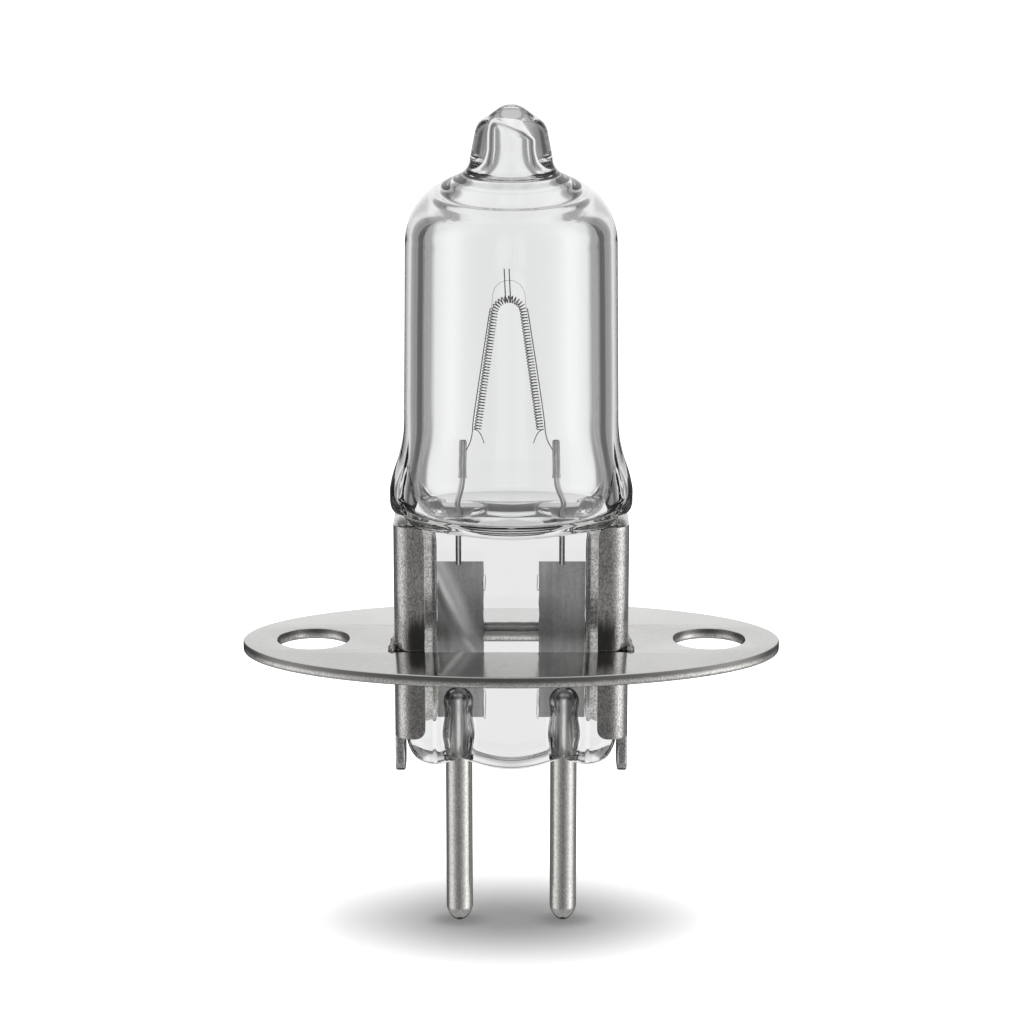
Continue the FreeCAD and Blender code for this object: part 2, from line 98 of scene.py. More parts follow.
# One node tree, for a material or for the world
class Tree:
    def __init__(self, owner):
        owner.use_nodes = True
        self.owner = owner
        self.tree = owner.node_tree
        self.tree.nodes.clear()

    def node(self, kind, settings=None, values=None, output=0):
        made = self.tree.nodes.new("ShaderNode" + kind)
        for name, value in (settings or {}).items():
            if name == "stops":
                self.setStops(made.color_ramp, value)
            else:
                setattr(made, name, value)
        for name, value in (values or {}).items():
            feed(self.tree, made.inputs[name], value)
        return Term(self.tree, made, output)

    def setStops(self, ramp, stops):
        while len(ramp.elements) < len(stops):
            ramp.elements.new(1.0)
        for element, (place, level) in zip(ramp.elements, stops):
            element.position = place
            element.color = grey(level)

    def blend(self, factor, first, second):
        # The Mix node's sockets go by number, because their names repeat
        return self.node("Mix", {"data_type": "RGBA"}, {0: factor, 6: first, 7: second}, 2)

    def smoothStep(self, value, low, high, start=0.0, end=1.0):
        settings = {"interpolation_type": "SMOOTHSTEP", "clamp": True}
        values = {"Value": value, "From Min": low, "From Max": high, "To Min": start, "To Max": end}
        return self.node("MapRange", settings, values)

    def place(self, stretch=(1.0, 1.0, 1.0), shift=(0.0, 0.0, 0.0)):
        values = {"Vector": self.node("TexCoord", output="Object"), "Location": shift, "Scale": stretch}
        return self.node("Mapping", values=values)

    def position(self):
        # Where a point lies on the bulb, as X, Y and Z in millimetres
        spot = self.node("SeparateXYZ", values={"Vector": self.node("TexCoord", output="Object")})
        return [spot.other(axis) * (1 / mm) for axis in "XYZ"]

    def noise(self, scale, detail, roughness, squash=1.0):
        # scale is per metre. A squash under 1 draws the pattern out upwards.
        values = {"Vector": self.place((1.0, 1.0, squash)), "Scale": scale, "Detail": detail,
                  "Roughness": roughness}
        return self.node("TexNoise", values=values)

    def bump(self, height, strength, distance):
        return self.node("Bump", values={"Strength": strength, "Distance": distance, "Height": height})

    def finish(self, surface):
        kind = "World" if isinstance(self.owner, bpy.types.World) else "Material"
        end = self.tree.nodes.new("ShaderNodeOutput" + kind)
        self.tree.links.new(surface.socket, end.inputs["Surface"])
        return self.owner


def newTree(name):
    return Tree(bpy.data.materials.new(name))


def grey(level):
    return (level, level, level, 1.0)


def tinted(level, tint):
    return tuple(level * part for part in tint) + (1.0,)


# Metal finishes, a row each under these columns. dark and pale are the two ends of the mottling, clouds is
# the large mottling's share, grain is how far the roughness varies, and a low squash draws the grain out
# upwards. Scales are per metre.
finishColumns = ("dark", "pale", "tint", "rough", "grain", "clouds", "cloudScale", "grainScale", "squash",
                 "bump", "bumpDepth")
finishRows = {
    "plateSteel": (0.53, 0.60, (1.0, 0.992, 0.975), 0.10, 0.05, 0.6, 210.0, 4200.0, 1.0, 0.05, 0.010),
    "rimSteel": (0.55, 0.95, (1.0, 0.985, 0.96), 0.24, 0.14, 0.25, 2600.0, 17000.0, 0.8, 0.45, 0.012),
    "clipSteel": (0.36, 0.78, (1.0, 0.98, 0.95), 0.18, 0.14, 0.2, 1500.0, 21000.0, 0.6, 0.34, 0.012),
    "pinNickel": (0.56, 0.76, (1.0, 0.985, 0.955), 0.14, 0.08, 0.2, 1800.0, 19000.0, 0.5, 0.18, 0.009),
    "leadMetal": (0.86, 0.98, (1.0, 0.99, 0.98), 0.32, 0.12, 0.3, 900.0, 12000.0, 0.3, 0.12, 0.010),
    "sleeveMetal": (0.56, 0.82, (1.0, 0.985, 0.96), 0.40, 0.12, 0.3, 900.0, 12000.0, 0.3, 0.12, 0.010),
    "weldSteel": (0.14, 0.50, (1.0, 0.98, 0.95), 0.36, 0.20, 0.4, 1800.0, 9000.0, 1.0, 0.6, 0.040),
    "tungsten": (0.10, 0.24, (1.0, 1.0, 1.02), 0.38, 0.10, 0.5, 3000.0, 20000.0, 1.0, 0.05, 0.002),
}
finishes = {name: dict(zip(finishColumns, row)) for name, row in finishRows.items()}

# The plate's rim has painted shade near its top edge, a dark band: between which heights that begins, and how
# dark it gets
rimShadeBand = {"heights": (0.15, 0.30), "sway": 0.1, "level": 0.42}

# A darker patch with streaky edges on a clip's front flange above the plate, and painted shade on the flange
# below the plate
flangePatchAndShade = {"lowZ": 0.45, "highZ": 2.10, "edgeX": 4.02, "frontY": -1.6, "softLow": 0.6, "softHigh": 0.9,
         "softX": 0.3, "softY": 0.4, "swayZ": 1.2, "swayX": 0.3, "streakScale": 9000.0, "streakSquash": 0.12,
         "plateZ": (-0.2, 0.1), "dim": 0.35, "level": 0.26}


def flangePatchAndShadeShare(made, grain):
    x, y, z = made.position()
    streak = made.noise(flangePatchAndShade["streakScale"], 3.0, 0.6, flangePatchAndShade["streakSquash"]) - 0.5
    level = z + streak * flangePatchAndShade["swayZ"]
    inner = abs(x) + streak * flangePatchAndShade["swayX"]
    flat = made.smoothStep(inner, flangePatchAndShade["edgeX"] - flangePatchAndShade["softX"], flangePatchAndShade["edgeX"], 1.0, 0.0)
    flat = flat * made.smoothStep(y, flangePatchAndShade["frontY"], flangePatchAndShade["frontY"] + flangePatchAndShade["softY"], 1.0, 0.0)
    near = made.smoothStep(level, flangePatchAndShade["lowZ"] - flangePatchAndShade["softLow"], flangePatchAndShade["lowZ"])
    near = near * made.smoothStep(level, flangePatchAndShade["highZ"] - flangePatchAndShade["softHigh"], flangePatchAndShade["highZ"], 1.0, 0.0)
    # painted shade: the flange is darker below the plate, where the plate shades it
    under = made.smoothStep(level, *flangePatchAndShade["plateZ"], flangePatchAndShade["dim"], 0.0)
    return flat * (near + under).maths("MINIMUM", 1.0) * (grain * 0.5 + 0.7).maths("MINIMUM", 1.0)


def metalMaterial(name):
    look = finishes[name]
    made = newTree(name)
    cloud = made.noise(look["cloudScale"], 4.0, 0.55)
    grain = made.noise(look["grainScale"], 3.0, 0.62, look["squash"])
    share = made.smoothStep(cloud * look["clouds"] + grain * (1 - look["clouds"]), 0.36, 0.64)
    colour = made.blend(share, tinted(look["dark"], look["tint"]), tinted(look["pale"], look["tint"]))
    if name == "rimSteel":
        # painted shade: the upper part of the rim is darker
        height = made.position()[2] + (cloud - 0.5) * rimShadeBand["sway"]
        above = made.smoothStep(height, *rimShadeBand["heights"])
        colour = made.blend(above, colour, tinted(look["dark"] * rimShadeBand["level"], look["tint"]))
    # a darker patch on the front flange above the plate, and painted shade below the plate
    if name == "clipSteel":
        darkened = tinted(look["dark"] * flangePatchAndShade["level"], look["tint"])
        colour = made.blend(flangePatchAndShadeShare(made, grain), colour, darkened)
    rough = grain * look["grain"] + (look["rough"] - look["grain"] / 2)
    bump = made.bump(grain, look["bump"], look["bumpDepth"] * mm)
    values = {"Base Color": colour, "Metallic": 1.0, "Roughness": rough, "Normal": bump}
    return made.finish(made.node("BsdfPrincipled", values=values))


foilLook = {"dark": 0.24, "pale": 0.44, "sheen": 0.78, "rough": 0.30, "bandSlope": 0.44,
            "bandAt": -1.45, "bandWidth": 0.75}


def foilMaterial(name, paintsHighlight):
    # Rolled foil: vertical rolling streaks and, on one side, a painted highlight: a pale diagonal band along
    # its dent
    made = newTree(name)
    cloud = made.noise(420.0, 4.0, 0.6, 0.45)
    streak = made.noise(5200.0, 2.0, 0.6, 0.06)
    grain = made.noise(9000.0, 2.0, 0.6)
    share = made.smoothStep(cloud * 0.6 + streak * 0.2 + grain * 0.2, 0.36, 0.66)
    colour = made.blend(share, grey(foilLook["dark"]), grey(foilLook["pale"]))
    # painted highlight: a pale diagonal band on the left foil
    if paintsHighlight:
        x, z = made.position()[::2]
        across = x - foilLook["bandAt"] + z * foilLook["bandSlope"] + (cloud - 0.5) * 0.5
        band = made.smoothStep(abs(across), 0.0, foilLook["bandWidth"], 1.0, 0.0)
        band = band * made.smoothStep(z, -0.6, 1.0)
        colour = made.blend(band * 0.85, colour, grey(foilLook["sheen"]))
    bump = made.bump(cloud + grain * 0.2, 0.25, 0.03 * mm)
    values = {"Base Color": colour, "Metallic": 1.0, "Normal": bump,
              "Roughness": grain * 0.1 + (foilLook["rough"] - 0.05)}
    return made.finish(made.node("BsdfPrincipled", values=values))


def quartzMaterial():
    made = newTree("quartzGlass")
    wave = made.noise(190.0, 2.0, 0.5)
    drawn = made.noise(1500.0, 2.0, 0.5, 0.12)  # faint drawing lines along the tube
    colour = made.blend(wave, (0.975, 0.980, 0.980, 1.0), (0.99, 0.993, 0.993, 1.0))
    melted = made.smoothStep(made.position()[2], 19.2, 20.2)  # the tip is where it was sealed off
    blister = made.noise(2600.0, 3.0, 0.55, 0.6) * melted
    bump = made.bump(wave + drawn * 0.05 + blister * 0.35, 0.06, 0.2 * mm)
    values = {"Base Color": colour, "Roughness": 0.0, "IOR": 1.46, "Transmission Weight": 1.0,
              "Normal": bump}
    return made.finish(made.node("BsdfPrincipled", values=values))


# The floor is white to the camera away from the bulb and keeps the bulb's real shadow near it; its glow to
# the camera also fades towards the bulb and round each pin's foot, which paints extra shadow there.
floorLook = {"size": 4000.0, "colour": 0.90, "fillNear": 0.10, "fillFar": 0.80, "nearRadius": 0.5,
             "farRadius": 11.5, "squeeze": 1.55, "centreY": -0.1, "pinX": 2.0, "pinShadowReach": 1.6}


def awayFrom(made, x):
    # Distance on the floor from a place on the X axis, squeezed front to back
    back = -floorLook["centreY"] * floorLook["squeeze"] * mm
    spot = made.place((1.0, floorLook["squeeze"], 0.0), (-x * mm, back, 0.0))
    return made.node("VectorMath", {"operation": "LENGTH"}, {0: spot}, "Value")


def floorMaterial():
    made = newTree("paleFloor")
    speck = made.noise(60.0, 2.0, 0.5)
    colour = made.blend(speck, grey(floorLook["colour"] - 0.01), grey(floorLook["colour"] + 0.01))
    # painted shadow: the camera's glow on the floor is low near the bulb, so the floor there is darker than
    # its real shadow
    fill = made.smoothStep(awayFrom(made, 0.0), floorLook["nearRadius"] * mm, floorLook["farRadius"] * mm,
                           floorLook["fillNear"], floorLook["fillFar"])
    # painted shadow: the glow drops to nothing round each pin's foot
    for side in sides.values():
        foot = awayFrom(made, side * floorLook["pinX"])
        fill = fill * made.smoothStep(foot, 0.2 * mm, floorLook["pinShadowReach"] * mm)
    level = made.blend(fill, grey(0.0), grey(1.0))
    cloth = made.node("BsdfDiffuse", values={"Color": colour, "Roughness": 0.3})
    glow = made.node("Emission", values={"Color": level, "Strength": 1.0})
    both = made.node("AddShader", values={0: cloth, 1: glow})
    cameraRay = made.node("LightPath").other("Is Camera Ray")
    return made.finish(made.node("MixShader", values={0: cameraRay, 1: cloth, 2: both}))


# What the studio shows: white walls with grey gaps for the glass, and a darker front for the metal.
# A stop is a place along its ramp and a level. Azimuth 0 is the front.
studio = {
    "ambient": 0.28,
    "glassTurn": [(0.0, 0.84), (0.17, 0.93), (0.36, 0.88), (0.42, 0.62), (0.48, 0.37), (0.62, 0.27),
                  (0.76, 0.22), (0.83, 0.27), (0.88, 0.11), (1.0, 0.10)],
    "glassHeight": [(0.0, 0.0), (0.25, 0.0), (0.42, 0.70), (0.80, 0.85), (1.0, 0.5)],
    "glassPole": 0.42,
    "metalTurn": [(0.0, 1.0), (0.045, 0.95), (0.085, 0.22), (0.19, 0.18), (0.25, 0.85), (0.31, 1.05),
                  (0.375, 0.60), (0.425, 0.32), (0.5, 0.22), (0.575, 0.45), (0.625, 0.85), (0.68, 1.50),
                  (0.745, 1.05), (0.80, 0.30), (0.915, 0.30), (0.955, 0.95), (1.0, 1.0)],
    "metalRoof": 1.0,
    "metalFloor": 0.42,
    "metalEdge": 0.05,
}


def buildStudio():
    world = bpy.data.worlds.new("studio")
    bpy.context.scene.world = world
    made = Tree(world)
    split = made.node("SeparateXYZ", values={"Vector": made.node("TexCoord", output="Generated")})
    x, y, z = split, split.other("Y"), split.other("Z")
    turn = x.maths("ARCTAN2", y * -1.0) * (180 / pi)
    height = z.maths("ARCSINE") * (180 / pi)
    folded = abs((turn + 45.0).maths("FLOORED_MODULO", 90.0) - 45.0)
    wall = made.node("ValToRGB", {"stops": studio["glassTurn"]}, {"Fac": folded * (1 / 45)})
    pole = made.node("ValToRGB", {"stops": studio["glassHeight"]}, {"Fac": abs(height) * (1 / 90)})
    glassView = made.blend(pole, wall, grey(studio["glassPole"]))
    ring = made.node("ValToRGB", {"stops": studio["metalTurn"]}, {"Fac": turn * (1 / 360) + 0.5})
    roof = made.smoothStep(height, 28.0, 50.0)
    under = made.smoothStep(height * -1.0, 22.0, 45.0)
    metalView = made.blend(roof, ring, grey(studio["metalRoof"]))
    metalView = made.blend(under, metalView, grey(studio["metalFloor"]))
    edge = made.smoothStep(abs(turn), 138.0, 150.0) * made.smoothStep(height * -1.0, 2.0, 8.0)
    metalView = made.blend(edge, metalView, grey(studio["metalEdge"]))  # upright faces seen edge on
    ray = made.node("LightPath")
    light = made.blend(ray.other("Is Glossy Ray"), grey(studio["ambient"]), metalView)
    light = made.blend(ray.other("Is Transmission Ray"), light, glassView)
    light = made.blend(ray.other("Is Camera Ray"), light, grey(1.0))
    made.finish(made.node("Background", values={"Color": light, "Strength": 1.0}))


# Mesh helpers
def refine(mesh, sharpDeg, merge=0.0, sliver=0.0, others=()):
    # Takes other meshes in, merges doubles and turns faces outward. Edges above the angle stay sharp.
    work = bmesh.new()
    for part in (mesh, *others):
        work.from_mesh(part)
    if merge:
        bmesh.ops.remove_doubles(work, verts=work.verts, dist=merge)
    if sliver:
        bmesh.ops.dissolve_degenerate(work, edges=work.edges, dist=sliver)
    bmesh.ops.recalc_face_normals(work, faces=work.faces)
    for face in work.faces:
        face.smooth = True
    for edge in work.edges:
        edge.smooth = edge.calc_face_angle(pi) < radians(sharpDeg)
    work.to_mesh(mesh)
    work.free()


def meshPiece(name, points, faces, material, sharpDeg=180.0):
    mesh = bpy.data.meshes.new(name)
    mesh.from_pydata([Vector(point) * mm for point in points], [], faces)
    refine(mesh, sharpDeg, merge=1e-7, sliver=1e-8)
    return addPiece(name, mesh, material)


def addPiece(name, mesh, material):
    piece = linked(name, mesh)
    mesh.materials.clear()
    mesh.materials.append(material)
    return piece


def linked(name, data):
    made = bpy.data.objects.new(name, data)
    bpy.context.scene.collection.objects.link(made)
    return made


def settle(piece, slot, *nodes):
    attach(piece, "root")
    if nodes:
        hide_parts(*nodes)


def ringFaces(ringCount, around, first=0):
    faces = []
    for ring in range(ringCount - 1):
        for step in range(around):
            beside = (step + 1) % around
            low = first + ring * around
            faces.append((low + step, low + beside, low + around + beside, low + around + step))
    return faces


def fullTurn(count):
    return [2 * pi * step / count for step in range(count)]


def lathe(profile, around, x=0.0):
    points = [(x + radius * cos(angle), radius * sin(angle), z)
              for radius, z in profile for angle in fullTurn(around)]
    return points, ringFaces(len(profile), around)


def lathePiece(name, profile, around, x, material, sharpDeg=180.0):
    points, faces = lathe(profile, around, x)
    return meshPiece(name, points, faces, material, sharpDeg)


def arcPoints(centre, radius, start, end, count):
    turns = [start + (end - start) * step / (count - 1) for step in range(count)]
    return [(centre[0] + radius * cos(t), centre[1] + radius * sin(t)) for t in turns]


def mix(start, end, share):
    return start + (end - start) * share


def smoothMix(low, high, value):
    share = min(1.0, max(0.0, (value - low) / (high - low)))
    return share * share * (3 - 2 * share)


def boxOf(node):
    low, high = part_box(node)
    return [v / mm for v in low], [v / mm for v in high]


def middleX(node):
    low, high = boxOf(node)
    return (low[0] + high[0]) / 2


def evaluatedMesh(piece, name):
    # The finished mesh of an object with its modifiers, or of a curve. The object itself goes.
    mesh = bpy.data.meshes.new_from_object(piece.evaluated_get(bpy.context.evaluated_depsgraph_get()))
    mesh.name = name
    bpy.data.objects.remove(piece)
    return mesh


def inDepth(place):
    # A place of two numbers is X and Z on the middle plane
    return place if len(place) == 3 else (place[0], 0.0, place[1])


def lineObject(name, kind, places):
    # A curve through a few places
    curve = bpy.data.curves.new(name, "CURVE")
    curve.dimensions = "3D"
    spline = curve.splines.new(kind)
    spline.points.add(len(places) - 1)
    for point, place in zip(spline.points, places):
        point.co = (*(Vector(place) * mm), 1.0)
    return linked(name, curve)


def wirePiece(name, places, radius, material, order=3, around=8):
    # Round wire along a smooth line
    line = lineObject(name + "Line", "NURBS", [inDepth(place) for place in places])
    spline = line.data.splines[0]
    spline.order_u = order
    spline.use_endpoint_u = True
    spline.resolution_u = 8
    line.data.bevel_depth = radius * mm
    line.data.bevel_resolution = around // 4 - 1
    line.data.use_fill_caps = True
    mesh = evaluatedMesh(line, name)
    refine(mesh, 50.0, merge=1e-8)
    return addPiece(name, mesh, material)


# Quartz envelope: one blown and pressed piece of glass with a hollow inside
glass = {
    "around": 384, "footZ": 9.3, "footRadius": 3.98, "shoulderZ": 15.525, "shoulderRadius": 3.894,
    "cornerRadius": 2.523, "slopeDeg": 24.2, "coveRadius": 0.7, "tipRadius": 1.494,
    "tipShoulder": 1.334, "tipRound": 0.75, "tipTopZ": 20.59, "nubRadius": 0.84, "nubHalfDeg": 40.0,
    "tipStartDeg": 4.0, "tipEndDeg": 62.0, "saddleDeg": 34.0,
    "widest": 4.515, "widestShare": 0.86, "onsetPower": 3.0, "underPower": 0.3,
    "rollShare": 0.80, "rollWidth": 3.2, "rollDepth": 1.2, "depthLoss": 0.10, "finStart": 0.35,
    "finFull": 0.92, "finDepth": 0.3, "blend": 0.14, "blendFrom": 0.45, "blendFull": 0.8, "flareRings": 44,
    "sealTopZ": 4.93, "sealDip": 0.09, "sealDipReach": 0.70, "sealRise": 0.42, "sealRiseFrom": 2.5,
    "sealRiseReach": 0.8, "sealRisePower": 1.5, "sealRiseMost": 1.4,
    "sealHalfWidth": 3.99, "sealHalfDepth": 1.28, "sealSquareness": 9.0,
    "recess": 0.07, "recessFrom": 2.80, "recessTo": 2.97,
    "sideZ": -3.72, "lobeZ": -4.24, "notchZ": -3.94, "middleZ": -4.46, "footCorner": 0.5,
    "lobePower": 0.8,
    "edgeRound": 0.24, "footBulge": 0.06,
    "ridgeX": 2.0, "ridgeHalf": 0.60, "ridgeRise": 0.05, "ridgeTopZ": -1.1, "ridgePower": 1.0,
    "bulgeZ": -3.07, "bulgeRise": 0.03, "bulgeReach": 0.6, "bulgeWider": 0.05,
    "ridgeNarrower": 0.04, "narrowFrom": -3.4, "narrowTo": -4.2,
}
hollow = {
    "around": 192, "wall": 0.70, "shoulderDrop": -0.10, "cornerRadius": 1.2, "slopeDeg": 38.0,
    "coveRadius": 1.6, "boreRadius": 0.60, "boreTopZ": 19.64, "boreEndRound": 0.26,
    "boreTiltX": -0.28, "boreTiltY": -0.17,
    "widest": 3.62, "rollPower": 0.15, "rimZ": 5.62, "rimHalfWidth": 3.40, "rimHalfDepth": 2.75,
    "hump": 0.12, "humpHalf": 1.2, "dimpleX": 2.2, "dimpleY": -0.7, "dimpleHalfX": 1.2, "dimpleHalfY": 1.3,
    "dimpleDepth": 0.24, "dimplePower": 0.75, "floorRings": 64, "rollRings": 44,
    "ringX": 1.62, "ringHalf": 0.42, "ringRise": 0.30, "ringFrom": 15.8, "ringFull": 16.4,
    "rippleFrom": 1.15, "rippleTo": 2.6, "ripple": 0.050, "rippleLength": 0.40,
}


def stepsTo(first, last, count):
    # Even steps from one place towards another, without the last
    return [(mix(first[0], last[0], step / count), mix(first[1], last[1], step / count))
            for step in range(count)]


def domeProfile(shape, foot, shoulder, stem):
    # Side view from the wall's foot up to the stem: wall, shoulder, slope and cove
    corner = shape["cornerRadius"]
    cove = shape["coveRadius"]
    slope = radians(shape["slopeDeg"])
    cornerArc = arcPoints((shoulder[0] - corner, shoulder[1]), corner, 0, pi / 2 - slope, 22)
    endX, endZ = cornerArc[-1]
    run = (endX + cove * sin(slope) - stem - cove) / cos(slope)
    coveCentre = (stem + cove, endZ + run * sin(slope) + cove * cos(slope))
    coveArc = arcPoints(coveCentre, cove, -pi / 2 - slope, -pi, 16)
    return stepsTo(foot, shoulder, 8) + cornerArc + stepsTo(cornerArc[-1], coveArc[0], 48)[1:] + coveArc


def tipProfile():
    half = radians(glass["nubHalfDeg"])
    nubCentre = (0, glass["tipTopZ"] - glass["nubRadius"])
    nub = arcPoints(nubCentre, glass["nubRadius"], pi / 2 - half, pi / 2, 10)
    end = radians(glass["tipEndDeg"])
    roundX = glass["tipShoulder"] - glass["tipRound"]
    endX = roundX + glass["tipRound"] * cos(end)
    fall = (endX - nub[0][0]) * tan(radians(glass["saddleDeg"]))
    centreZ = nub[0][1] - fall - glass["tipRound"] * sin(end)
    start = radians(glass["tipStartDeg"])
    shoulder = arcPoints((roundX, centreZ), glass["tipRound"], start, end, 12)
    return shoulder + nub[:-1] + [(0.0, glass["tipTopZ"])]


def ovalReach(halfWidth, halfDepth, squareness, angle):
    if halfWidth == 0:
        return 0.0
    across = abs(cos(angle) / halfWidth) ** squareness + abs(sin(angle) / halfDepth) ** squareness
    return across ** (-1 / squareness)


def ovalRing(halfWidth, halfDepth, squareness, angles):
    return [polar(ovalReach(halfWidth, halfDepth, squareness, angle), angle) for angle in angles]


def polar(reach, angle):
    return (reach * cos(angle), reach * sin(angle))


def evenAngles(halfWidth, halfDepth, squareness, count, fine=4096):
    # Directions that cut an oval's rim into equal lengths
    turns = [2 * pi * step / fine for step in range(fine + 1)]
    rim = [Vector(point) for point in ovalRing(halfWidth, halfDepth, squareness, turns)]
    total = sum((b - a).length for a, b in zip(rim, rim[1:]))
    angles = []
    run = 0.0
    for step in range(fine):
        if run >= len(angles) * total / count:
            angles.append(turns[step])
        run += (rim[step + 1] - rim[step]).length
    return angles[:count]


def flaredWidth(share, start, widest, end):
    if share < glass["widestShare"]:
        swell = sin(pi / 2 * share / glass["widestShare"]) ** glass["onsetPower"]
        return mix(start, widest, swell)
    beyond = (share - glass["widestShare"]) / (1 - glass["widestShare"])
    return mix(end, widest, max(0.0, 1 - beyond ** 2) ** glass["underPower"])


def softMax(first, second, width):
    # The larger of two, with a rounded change from one to the other
    near = max(width - abs(first - second), 0.0) / max(width, 1e-6)
    return max(first, second) + near * near * width / 4


def sealTop(x):
    # The line where the pressed face starts: a dip in the middle, and a rise at each corner
    reach = abs(x)
    dip = glass["sealDip"] * exp(-(reach / glass["sealDipReach"]) ** 2)
    rise = max(0.0, (reach - glass["sealRiseFrom"]) / glass["sealRiseReach"])
    rise = glass["sealRise"] * rise ** glass["sealRisePower"]
    return glass["sealTopZ"] - dip + min(rise, glass["sealRiseMost"] * glass["sealRise"])


def footZ(x):
    # Scalloped foot of the seal: a middle lobe, a notch at each pin and a lobe outside it
    reach = abs(x)
    notch = glass["ridgeX"]
    if reach < notch:
        return mix(glass["middleZ"], glass["notchZ"], (reach / notch) ** 2)
    share = min(1.0, (reach - notch) / (glass["sealHalfWidth"] - notch))
    line = mix(glass["notchZ"], glass["sideZ"], share)
    corner = max(0.0, (reach - glass["sealHalfWidth"] + glass["footCorner"]) / glass["footCorner"])
    lift = glass["footCorner"] * (1 - sqrt(max(0.0, 1 - min(1.0, corner) ** 2)))
    return line - (line - glass["lobeZ"]) * sin(pi * share) ** glass["lobePower"] + lift


def ridgeRise(x, z):
    # Glass drawn up over the outer leads, arched at the top
    rise = 0.0
    bulge = exp(-((z - glass["bulgeZ"]) / glass["bulgeReach"]) ** 2)
    narrowed = glass["ridgeNarrower"] * smoothMix(glass["narrowFrom"], glass["narrowTo"], z)
    half = glass["ridgeHalf"] + glass["bulgeWider"] * bulge - narrowed
    up = max(0.0, (z - glass["ridgeTopZ"]) / half + 1)
    for side in sides.values():
        off = (x - side * glass["ridgeX"]) / half
        crown = max(0.0, 1 - off * off - up * up) ** glass["ridgePower"]
        rise += (glass["ridgeRise"] + glass["bulgeRise"] * bulge) * crown
    return rise


def outerRings():
    angles = evenAngles(glass["sealHalfWidth"], glass["sealHalfDepth"], glass["sealSquareness"],
                        glass["around"])
    foot = (glass["footRadius"], glass["footZ"])
    shoulder = (glass["shoulderRadius"], glass["shoulderZ"])
    profile = domeProfile(glass, foot, shoulder, glass["tipRadius"]) + tipProfile()
    rings = [[(x, y, z) for x, y in ovalRing(radius, radius, 2.0, angles)] for radius, z in reversed(profile)]
    plan = ovalRing(glass["sealHalfWidth"], glass["sealHalfDepth"], glass["sealSquareness"], angles)
    return rings + flareRings(plan, angles) + sealRings(plan)


def flareRings(plan, angles):
    # The round body rolls in under itself while a flat fin grows out at each side
    rings = []
    rollWidth = flaredWidth(glass["rollShare"], glass["footRadius"], glass["widest"], 0)
    for step in range(1, glass["flareRings"] + 1):
        share = sin(pi / 2 * step / glass["flareRings"])
        under = max(0.0, (share - glass["rollShare"]) / (1 - glass["rollShare"]))
        left = sqrt(max(0.0, 1 - under ** 2))
        width = flaredWidth(share, glass["footRadius"], glass["widest"], glass["sealHalfWidth"])
        bodyWidth = width
        if under > 0:
            bodyWidth = mix(glass["rollWidth"], rollWidth, left)
        depth = glass["footRadius"] - glass["depthLoss"] * smoothMix(0.2, 0.7, share)
        bodyDepth = mix(glass["rollDepth"], depth, left)
        grown = smoothMix(glass["finStart"], glass["finFull"], share)
        blend = glass["blend"] * smoothMix(glass["blendFrom"], glass["blendFull"], share)
        finDepth = mix(glass["finDepth"], glass["sealHalfDepth"], grown)
        square = mix(3.0, glass["sealSquareness"], grown)
        ring = []
        for angle, (planX, planY) in zip(angles, plan):
            body = ovalReach(bodyWidth, bodyDepth, 2.0, angle)
            fin = ovalReach(width, finDepth, square, angle)
            x, y = polar(softMax(body, fin, blend), angle)
            ring.append((x, y, mix(glass["footZ"], sealTop(planX), share)))
        rings.append(ring)
    return rings


def sealShares():
    # Rings down the seal, closer together where the glass is drawn over the leads
    span = glass["sealTopZ"] - glass["middleZ"]
    levels = [4.9 - 0.1 * s for s in range(5)] + [4.3 - 0.6 * s for s in range(9)]
    levels += [-1.0 - 0.055 * s for s in range(14)] + [-1.9 - 0.155 * s for s in range(16)]
    return [(glass["sealTopZ"] - level) / span for level in levels] + [1.0]


def sealRings(plan):
    rings = []
    for share in sealShares():
        ring = []
        for x, y in plan:
            top = sealTop(x)
            z = mix(top, footZ(x) + glass["edgeRound"], share)
            face = copysign(1.0, y) * smoothMix(0.55, 0.95, abs(y) / glass["sealHalfDepth"])
            hollowed = glass["recess"] * (1 - smoothMix(glass["recessFrom"], glass["recessTo"], abs(x)))
            hollowed *= smoothMix(0.0, 0.05, share)
            ring.append((x, y + face * (ridgeRise(x, z) - hollowed), z))
        rings.append(ring)
    last = rings[-1]
    for step in range(1, 8):
        turn = pi / 2 * step / 7
        inward = glass["edgeRound"] * (1 - cos(turn))
        drop = glass["edgeRound"] * sin(turn)
        shrinkX = 1 - inward / glass["sealHalfWidth"]
        shrinkY = 1 - inward / glass["sealHalfDepth"]
        rings.append([(x * shrinkX, y * shrinkY, z - drop) for x, y, z in last])
    last = rings[-1]
    for step in range(1, 7):
        rest = 1 - step / 6
        rings.append([(x, y * rest, z - glass["footBulge"] * (1 - rest * rest)) for x, y, z in last])
    return rings


